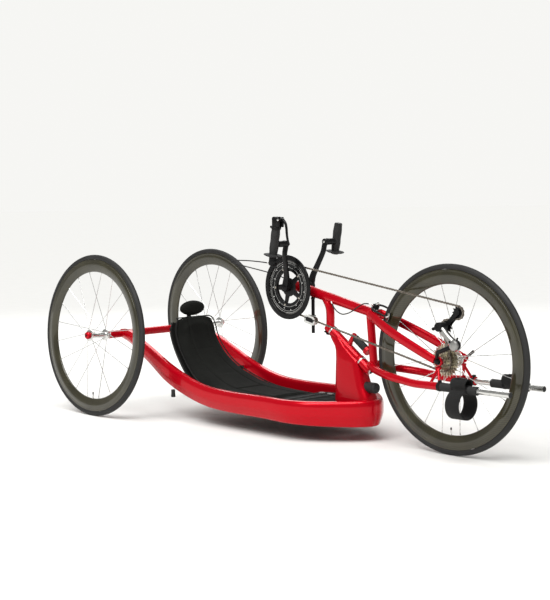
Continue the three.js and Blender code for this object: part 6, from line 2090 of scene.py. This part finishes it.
        Padding(cap=3.0).swell(thing, keep)
        for vert in thing.data.vertices:
            p = vert.co / MM
            if p.z < self.sling_height + 14:
                continue
            places = (p.y + self.quilt[0] / 2, p.x - LAYOUT.at(self.sling_start, 0, 0).x)
            depth = 0.0
            for place, size in zip(places, self.quilt):
                at = place % size
                depth += 2.4 * math.exp(-(min(at, size - self.seam_pair - at) / 4) ** 2)
            vert.co.z -= min(depth, 3.2) * MM
        smooth_all(thing)
        straps, plates = Form(), Form()
        for place in (905, 952):
            inner = self.sling_half(place)
            shares = [k / 10 for k in range(-10, 11)]
            line = [LAYOUT.at(place, y * (inner - 2), self.sling_height + self.sling_rise(abs(y)) + 2.6)
                    for y in shares]
            straps.ribbon(line, 22, 1.6, FORWARD)
            buckle = LAYOUT.at(place, inner * 0.5, self.sling_height + 28)
            plates.block(stand(buckle, UP, FORWARD), (25, 14, 3), 1.2)
            for sign in (-1, 1):
                rung = buckle + LEFT * (sign * 4) + UP * 1.4
                plates.bar(rung - FORWARD * 13, rung + FORWARD * 13, 1.3, 16, bevel=0.3)
        straps.piece("sling_straps", Palette.STRAP, self.body, sharp=60)
        plates.piece("sling_buckles", Palette.CASE, self.body, sharp=40)

    def build(self) -> None:
        """Builds the whole seat."""
        self.pan()
        self.back_frame()
        self.cushion()
        self.head_pad()
        self.sling()


@dataclass
class Controls:
    """The grips, the brake lever, the caliper, the cables and the foot supports."""

    tilt: float = math.radians(10)
    grip_offset: float = 62
    above: float = 68
    below: float = 40
    cable_radius: float = 2.2
    caliper_reach: float = 78
    caliper_span: float = 30
    rim_half: float = 9.8
    pad_gap: float = 2.5
    left_rest: float = 72
    shifter_route: tuple[tuple[float, float, float], ...] = (
        (18, -166, 98), (-34, -165, 101), (-110, -150, 102), (-190, -126, 100), (-255, -104, 96),
        (-284, -90, 91),
        (-276, -78, 83), (-236, -62, 73), (-186, -46, 62), (-140, -33, 52), (-70, -29, 38),
        (-13.6, -26, 19.6))
    brake_route: tuple[tuple[float, float, float], ...] = (
        (-202, -19.9, 36), (-188, -25, 20), (-168, -26, 2), (-142, -26, -8), (-116, -26, -5), (-90, -26, 5),
        (-58, -25, 24), (-32, -21, 36), (-5, -9, 34))

    @property
    def lean(self) -> Vector:
        """The direction up the grips."""
        return Vector((math.sin(self.tilt), 0, math.cos(self.tilt)))

    def grip(self, side: Side) -> None:
        """Builds a moulded grip with its flange, its bearing sleeve and its end cap."""
        body = f"grip_{side.word}_body"
        centre = LAYOUT.crank_end(side, self.grip_offset)
        frame = stand(centre, self.lean, FORWARD)
        low, high = -self.below, self.above
        profile: list[tuple[float, float]] = [(0, low), (14.6, low), (15.4, low + 1)]
        for i in range(60):
            share = i / 59
            at = low + 4 + share * (high - low - 8)
            swell = 15.9 + 1.1 * math.sin(math.pi * share) - 0.6 * math.cos(4 * math.pi * share)
            rib = 0.5 if 0.12 < share < 0.88 and i % 3 == 0 else 0.0
            profile.append((swell - rib, at))
        profile += [(16, high - 1.6), (14.5, high), (0, high)]
        form = Form().lathe(profile, frame, 56)
        form.piece(f"handle_{side.word}", Palette.GRIP, body, f"grip_{side.word}", sharp=50)
        flange = Form().lathe([
            (15, low + 3.4), (17, low + 3.5), (24, low + 1.8), (33, low + 0.4), (35.6, low - 0.3),
            (36, low - 1.4),
            (35, low - 2.6), (29, low - 5.4), (22.4, low - 7), (15, low - 7)], frame, 64, closed=True)
        if side is Side.LEFT:
            flange.lathe([(0, low - 7), (14, low - 7), (14.6, low - 8), (13, low - 11), (0, low - 12)], frame,
                         48)
        flange.piece(f"flange_{side.word}", Palette.RUBBER, body, sharp=45)
        sign = LEFT * side.value
        sleeve = Form().lathe([
            (7.4, 6.4), (11.6, 6.4), (13, 7.6), (13, 14), (12.2, 15), (12.2, 44), (13, 46), (7.4, 46)],
            stand(LAYOUT.crank_end(side), sign, FORWARD), 48, closed=True)
        sleeve.piece(f"grip_sleeve_{side.word}", Palette.BLACK, body)
        if side is Side.LEFT:
            cap = Form().lathe([(0, high - 0.6), (13.6, high - 0.6), (14.6, high + 0.4), (14.6, high + 2.4),
                                (12.6, high + 4.2), (0, high + 4.6)], frame, 48)
            cap.piece("grip_plug_left", Palette.BLACK, body)

    def shifter(self) -> None:
        """Builds the shifter under the right grip and the brake lever's bracket over it."""
        body = "grip_right_body"
        centre = LAYOUT.crank_end(Side.RIGHT, self.grip_offset)
        frame = stand(centre, self.lean, FORWARD)
        low, high = -self.below, self.above
        pod = Form().lathe([
            (0, low - 41), (10, low - 41), (12.6, low - 39.6), (13.4, low - 36), (14, low - 34),
            (14, low - 22),
            (13.2, low - 21.2), (13.2, low - 19.6), (14, low - 18.8), (14, low - 9), (13, low - 7),
            (0, low - 7)],
            frame, 48)
        pod.block(frame @ Matrix.Translation((13.5, 0, low - 25)), (13, 15, 17), 3.2, 3)
        pod.piece("shifter_pod", Palette.BLACK, body, sharp=40)
        paddle = Form()
        start = frame @ Vector((17, -2, low - 30))
        points = [start, start + Vector((9, -4, -4)), start + Vector((15, -9, -10)),
                  start + Vector((17, -13, -18))]
        paddle.tube(smooth_path(points, 5), lambda s: 3.4 + 1.8 * s - 3.0 * max(0.0, s - 0.92) / 0.08, 20,
                    flatten=0.6)
        paddle.piece("shifter_paddle", Palette.GLOSS, body, sharp=50)
        middle = centre + self.lean * (high + 16) + FORWARD * 5
        head = Form()
        head.block(stand(middle - FORWARD * 6, UP, FORWARD), (28, 29, 41), 6.5, 4)
        for sign in (-1, 1):
            head.block(stand(middle + FORWARD * 11 + LEFT * (sign * 11), UP, FORWARD), (18, 7, 38), 3, 3)
        head.ring(frame, (12, 19), (high - 10, high - 0.2), 48, (0.8, 0.8))
        head.bar(frame @ Vector((-19, 10, high - 5)), frame @ Vector((-19, -10, high - 5)), 4.6, 24,
                 bevel=0.8)
        head.piece("lever_bracket", Palette.BLACK, body, sharp=40)
        screws = Form()
        pivot = self.pivot
        screws.pin(pivot, -15.6, 15.6, 3.2, 24, 0.5)
        for sign in (-1, 1):
            screws.pin(pivot, sign * 14.4, sign * 16.2, 4.6, 24, 0.5)
        screws.bar(frame @ Vector((-19, 10.4, high - 5)), frame @ Vector((-19, 12, high - 5)), 3, 6,
                   bevel=0.3)
        screws.piece("lever_screws", Palette.SILVER, body)

    @property
    def pivot(self) -> Vector:
        """The pivot of the brake lever."""
        return LAYOUT.crank_end(Side.RIGHT, self.grip_offset) + self.lean * (self.above + 25.2) + FORWARD * 20

    def lever(self) -> None:
        """Builds the brake lever's blade."""
        p = self.pivot
        points = [p + FORWARD * x - UP * z for x, z in (
            (0, 0), (14, 2), (25.2, 13.8), (30, 32), (31.5, 50.6), (35, 72), (42, 92))]
        form = Form().tube(smooth_path(points, 5), lambda s: 5.6 - 1.2 * s + 1.6 * max(0.0, s - 0.9) * 4, 24,
                           flatten=0.92)
        form.ring(stand(p, LEFT, UP), (3.4, 7.6), (-5.6, 5.6), 36, (0.6, 0.6))
        form.piece("lever_blade", Palette.GLOSS, "brake_lever_body", "brake_lever", sharp=45)

    def caliper(self) -> None:
        """Builds the two caliper arms with their pads, holders and clamp."""
        crown, out = LAYOUT.crown, LAYOUT.blade_up
        rise = -square_to(out)

        def spot(along: float, across: float, height: float) -> Vector:
            """Gives a point in the caliper's plane."""
            return crown + out * along + LEFT * across + rise * height

        for level, side in enumerate((Side.RIGHT, Side.LEFT)):
            sign = side.value
            body = f"caliper_{side.word}_body"
            height = 23 + level * 8.3
            reach, span = self.caliper_reach, self.caliper_span
            corners = [(9, -0.2), (9, 0.35), (-reach * 0.15, 1), (-reach * 0.6, 0.95), (-reach, 0.8)]
            path = smooth_path([spot(a, sign * b * span, height) for a, b in corners], 6)
            arm = Form().tube(path, lambda s: 5.2 - 1.2 * s, 20, flatten=0.78, hint=rise)
            arm.ring(stand(spot(0, 0, height), rise, out), (4.3, 9.9), (-4, 4), 40, (0.9, 0.8))
            arm.piece(f"caliper_{side.word}_arm", Palette.BLACK, body, f"caliper_arm_{side.word}", sharp=45)
            face = self.rim_half + self.pad_gap
            pad = Form().block(stand(spot(-reach, sign * (face + 2.6), height), LEFT, rise), (32, 9.6, 5.2),
                               1.2)
            for i in range(3):
                pad.block(stand(spot(-reach, sign * (face + 0.9), height) + rise * (i * 9 - 9), LEFT, rise),
                          (5.6, 9.2, 2.0), 0.3)
            pad.piece(f"brake_pad_{side.word}", Palette.RUBBER, body)
            holder = Form().block(stand(spot(-reach, sign * (face + 6.6), height), LEFT, rise),
                                  (31, 8.6, 3.6), 1)
            holder.bar(spot(-reach, sign * (face + 6), height), spot(-reach, sign * (face + 15), height), 3,
                       20,
                       bevel=0.4)
            holder.bar(spot(-reach, sign * (span * 0.8 + 4.4), height),
                       spot(-reach, sign * (span * 0.8 + 7.2), height),
                       4.6, 6, bevel=0.5)
            holder.piece(f"pad_holder_{side.word}", Palette.SILVER, body)
        small = Form()
        anchor = spot(9, 7, 23)
        small.bar(anchor - rise * 5.4, anchor + rise * 5.4, 4.2, 24, bevel=0.6)
        small.bar(anchor + out * 3, anchor + out * 15, 3.2, 20, bevel=0.5)
        small.bar(anchor + out * 15, anchor + out * 21, 4.4, 12, bevel=0.8)
        small.piece("caliper_adjuster", Palette.SILVER, "caliper_right_body")

    def cables(self) -> None:
        """Builds the two cables with their ferrules."""
        shift = [LAYOUT.bracket + Vector(p) for p in self.shifter_route]
        path = smooth_path(shift, 8)
        form = Form().tube(path, self.cable_radius, 14, hint=LEFT)
        thing = form.piece("shifter_hose", Palette.HOSE, "fork", "shifter_cable")
        thing.parent = None
        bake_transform(thing)
        brake = smooth_path([LAYOUT.crown + Vector(p) for p in self.brake_route], 8)
        hose = Form().tube(brake, self.cable_radius, 14, hint=LEFT)
        hose.piece("brake_hose", Palette.HOSE, "fork", "brake_cable")
        ferrules = Form()
        for a, b in ((brake[0], brake[3]), (brake[-1], brake[-4]), (path[-1], path[-4])):
            way = (b - a).normalized()
            ferrules.bar(a, a + way * 12, 3, 20, bevel=0.5)
        ferrules.piece("cable_ferrules", Palette.SILVER, "fork")
        way = (path[2] - path[0]).normalized()
        tip = Form().bar(path[0], path[0] + way * 14, 3, 20, bevel=0.5)
        tip.piece("shifter_ferrule", Palette.SILVER, "grip_right_body")

    def foot(self, side: Side) -> None:
        """Builds one sliding foot tube with its sleeve, its heel loop and its toe strap."""
        body = f"foot_{side.word}_body"
        end = LAYOUT.lower_end(side)
        frame = stand(end, FORWARD, UP)
        tube = Form().lathe([(8.4, -80), (10, -80), (10, 289), (9.4, 289.6), (8.4, 289.6)], frame, 48,
                            closed=True)
        tube.piece(f"slide_{side.word}", Palette.SILVER, body, f"foot_tube_{side.word}")
        plug = Form().lathe([(0, 284), (8.3, 284), (8.3, 289.4), (10, 289.8), (10, 290.6), (8.8, 292),
                             (0, 292.4)], frame,
                            40)
        plug.piece(f"slide_plug_{side.word}", Palette.RUBBER, body)
        start = GAP if side is Side.RIGHT else self.left_rest
        profile: list[tuple[float, float]] = [(10.4, start), (14, start), (15, start + 1)]
        for i in range(25):
            at = start + 4.7 + i * 6
            profile += [(15, at), (14.1, at + 1.2), (14.1, at + 2.2), (15, at + 3.4)]
        profile += [(15, start + 154.7), (14, start + 155.7), (10.4, start + 155.7)]
        sleeve = Form().lathe(profile, frame, 48, closed=True)
        sleeve.piece(f"foot_sleeve_{side.word}", Palette.RUBBER, body, f"foot_rest_{side.word}", sharp=45)
        middle = end + FORWARD * (start + 156 * 0.55)
        straps = Form()
        toe = [middle + UP * (16 + 19.4 * math.cos(a)) + LEFT * (19.4 * math.sin(a)) for a in angles(40)]
        straps.ribbon(toe, 65, 2.8, FORWARD, True)
        if side is Side.RIGHT:
            heel = []
            for a in angles(48):
                pinch = 1 - 0.1 * max(0.0, math.cos(a)) ** 3
                heel.append(middle + UP * (-52 + 49.6 * math.cos(a)) + LEFT * (49.6 * pinch * math.sin(a)))
            straps.ribbon(heel, 60, 3.2, FORWARD, True)
            lap = [middle + UP * (-52 + 46.9 * math.cos(a)) + LEFT * (46.9 * math.sin(a) * side.value)
                   for a in (math.radians(120 + 7 * k) for k in range(14))]
            straps.ribbon(lap, 48, 2.2, FORWARD)
        straps.piece(f"foot_straps_{side.word}", Palette.STRAP, body, sharp=60)
        parts = Form()
        parts.block(stand(middle + UP * 36.2, UP, FORWARD), (38, 20, 3.0), 1.2)
        parts.block(stand(middle + UP * 38, UP, FORWARD), (10, 23, 2.6), 1.0)
        for shift in (-30, 30):
            parts.ring(stand(middle + FORWARD * shift, FORWARD, UP), (14.6, 16.2), (-4, 4), 44, (0.6, 0.6))
        parts.piece(f"foot_fittings_{side.word}", Palette.BLACK, body, sharp=40)

    def build(self) -> None:
        """Builds all the controls."""
        for side in Side:
            self.grip(side)
            self.foot(side)
        self.shifter()
        self.lever()
        self.caliper()
        self.cables()


@dataclass
class Studio:
    """The pale floor, the soft light and the camera."""

    eye: Vector = field(default_factory=lambda: Vector((3.861720, -3.713883, 0.938934)))
    back: Vector = field(default_factory=lambda: Vector((0.724666, -0.684266, 0.081477)))
    right: Vector = field(default_factory=lambda: Vector((0.687209, 0.726362, -0.011931)))
    focal: float = 1385.474
    shade: tuple[float, float, float] = (0.925, 0.922, 0.9)
    given: float = 0.3
    overhead: float = 3.05
    picture: tuple[int, int] = (550, 600)
    sensor: float = 36

    def camera(self) -> None:
        """Places the camera at the photograph's viewing angle."""
        lens = bpy.data.cameras.new("camera")
        lens.sensor_fit = "VERTICAL"
        lens.sensor_height = self.sensor
        lens.lens = self.sensor * self.focal / self.picture[1]
        lens.clip_end = 60
        eye = placed("camera", lens)
        rise = self.back.cross(self.right).normalized()
        turn = Matrix((self.right, rise, self.back)).transposed().to_4x4()
        eye.matrix_world = Matrix.Translation(self.eye) @ turn
        bpy.context.scene.camera = eye

    def floor(self) -> None:
        """Builds the floor."""
        bm = bmesh.new()
        bmesh.ops.create_circle(bm, cap_ends=True, segments=96, radius=60)
        mesh = bpy.data.meshes.new("floor")
        bm.to_mesh(mesh)
        bm.free()
        thing = placed("floor", mesh)
        g = Graph("floor_paper")
        g.set(Specular_IOR_Level=0.0)
        speck = g.noise(9, 4)
        colour = g.tint(speck, (0.3, (0.797, 0.7945, 0.7765)), (0.7, (0.817, 0.8145, 0.7965)))
        thing.data.materials.append(g.wire(Base_Color=colour, Roughness=g.span(speck, 0.8, 0.9)))

    def lamp(self, name: str, place: Sequence[float], size: float, power: float,
             tint: Sequence[float]) -> None:
        """Hangs one soft square lamp that looks at the handcycle."""
        light = bpy.data.lights.new(name, "AREA")
        light.shape = "SQUARE"
        light.size = size
        light.energy = power
        light.color = tint
        thing = placed(name, light)
        thing.matrix_world = stand(Vector(place), Vector(place) - Vector((0.1, 0, 0.35)))

    def sun(self) -> None:
        """Hangs one wide, even light over the whole floor."""
        light = bpy.data.lights.new("overhead", "SUN")
        light.energy = self.overhead
        light.angle = math.radians(50)
        thing = placed("overhead", light)
        thing.matrix_world = stand(Vector((0, 0, 5)), Vector((0.25, -0.45, 1)))

    def sky(self) -> None:
        """Sets the pale background, which lights the scene less than it shows."""
        world = bpy.data.worlds.new("studio")
        world.use_nodes = True
        nodes, links = world.node_tree.nodes, world.node_tree.links
        shown = nodes["Background"]
        shown.inputs[0].default_value = (*self.shade, 1)
        given = nodes.new("ShaderNodeBackground")
        given.inputs[0].default_value = (*self.shade, 1)
        given.inputs[1].default_value = self.given
        path = nodes.new("ShaderNodeLightPath")
        both = nodes.new("ShaderNodeMixShader")
        links.new(path.outputs["Is Camera Ray"], both.inputs[0])
        links.new(given.outputs[0], both.inputs[1])
        links.new(shown.outputs[0], both.inputs[2])
        links.new(both.outputs[0], nodes["World Output"].inputs[0])
        bpy.context.scene.world = world
        bpy.context.scene.view_settings.view_transform = "Standard"

    def build(self) -> None:
        """Sets up the whole studio."""
        self.camera()
        self.floor()
        self.sun()
        self.lamp("key", (0.6, -3.6, 3.4), 2.4, 70, (1, 0.985, 0.96))
        self.lamp("rim", (-3.0, 2.8, 2.8), 2.2, 55, (1, 1, 1))
        self.sky()


def wheels() -> list[Wheel]:
    """Gives the three wheels."""
    out = []
    for side in Side:
        centre, axis = LAYOUT.rear_axis(side)
        out.append(Wheel(f"rear_{side.word}", f"rear_wheel_{side.word}", centre, axis, ((-56, 24), (24, 24)),
                         (-75, 28), 12, 6.4))
    out.append(Wheel("front", "front_wheel", LAYOUT.front_hub, LEFT, ((-20, 26), (34, 26)), (-61, 61), 11,
                     5.4))
    return out


def main() -> None:
    """Loads the frame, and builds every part."""
    logging.basicConfig(level=logging.INFO, format="%(name)s: %(message)s")
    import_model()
    Studio().build()
    for wheel in wheels():
        wheel.build()
        if wheel.word != "front":
            wheel.cap(28.3)
    for part in (Frame(), Fork(), Drive(), Seat(), Controls()):
        part.build()


if __name__ == "__main__":
    main()
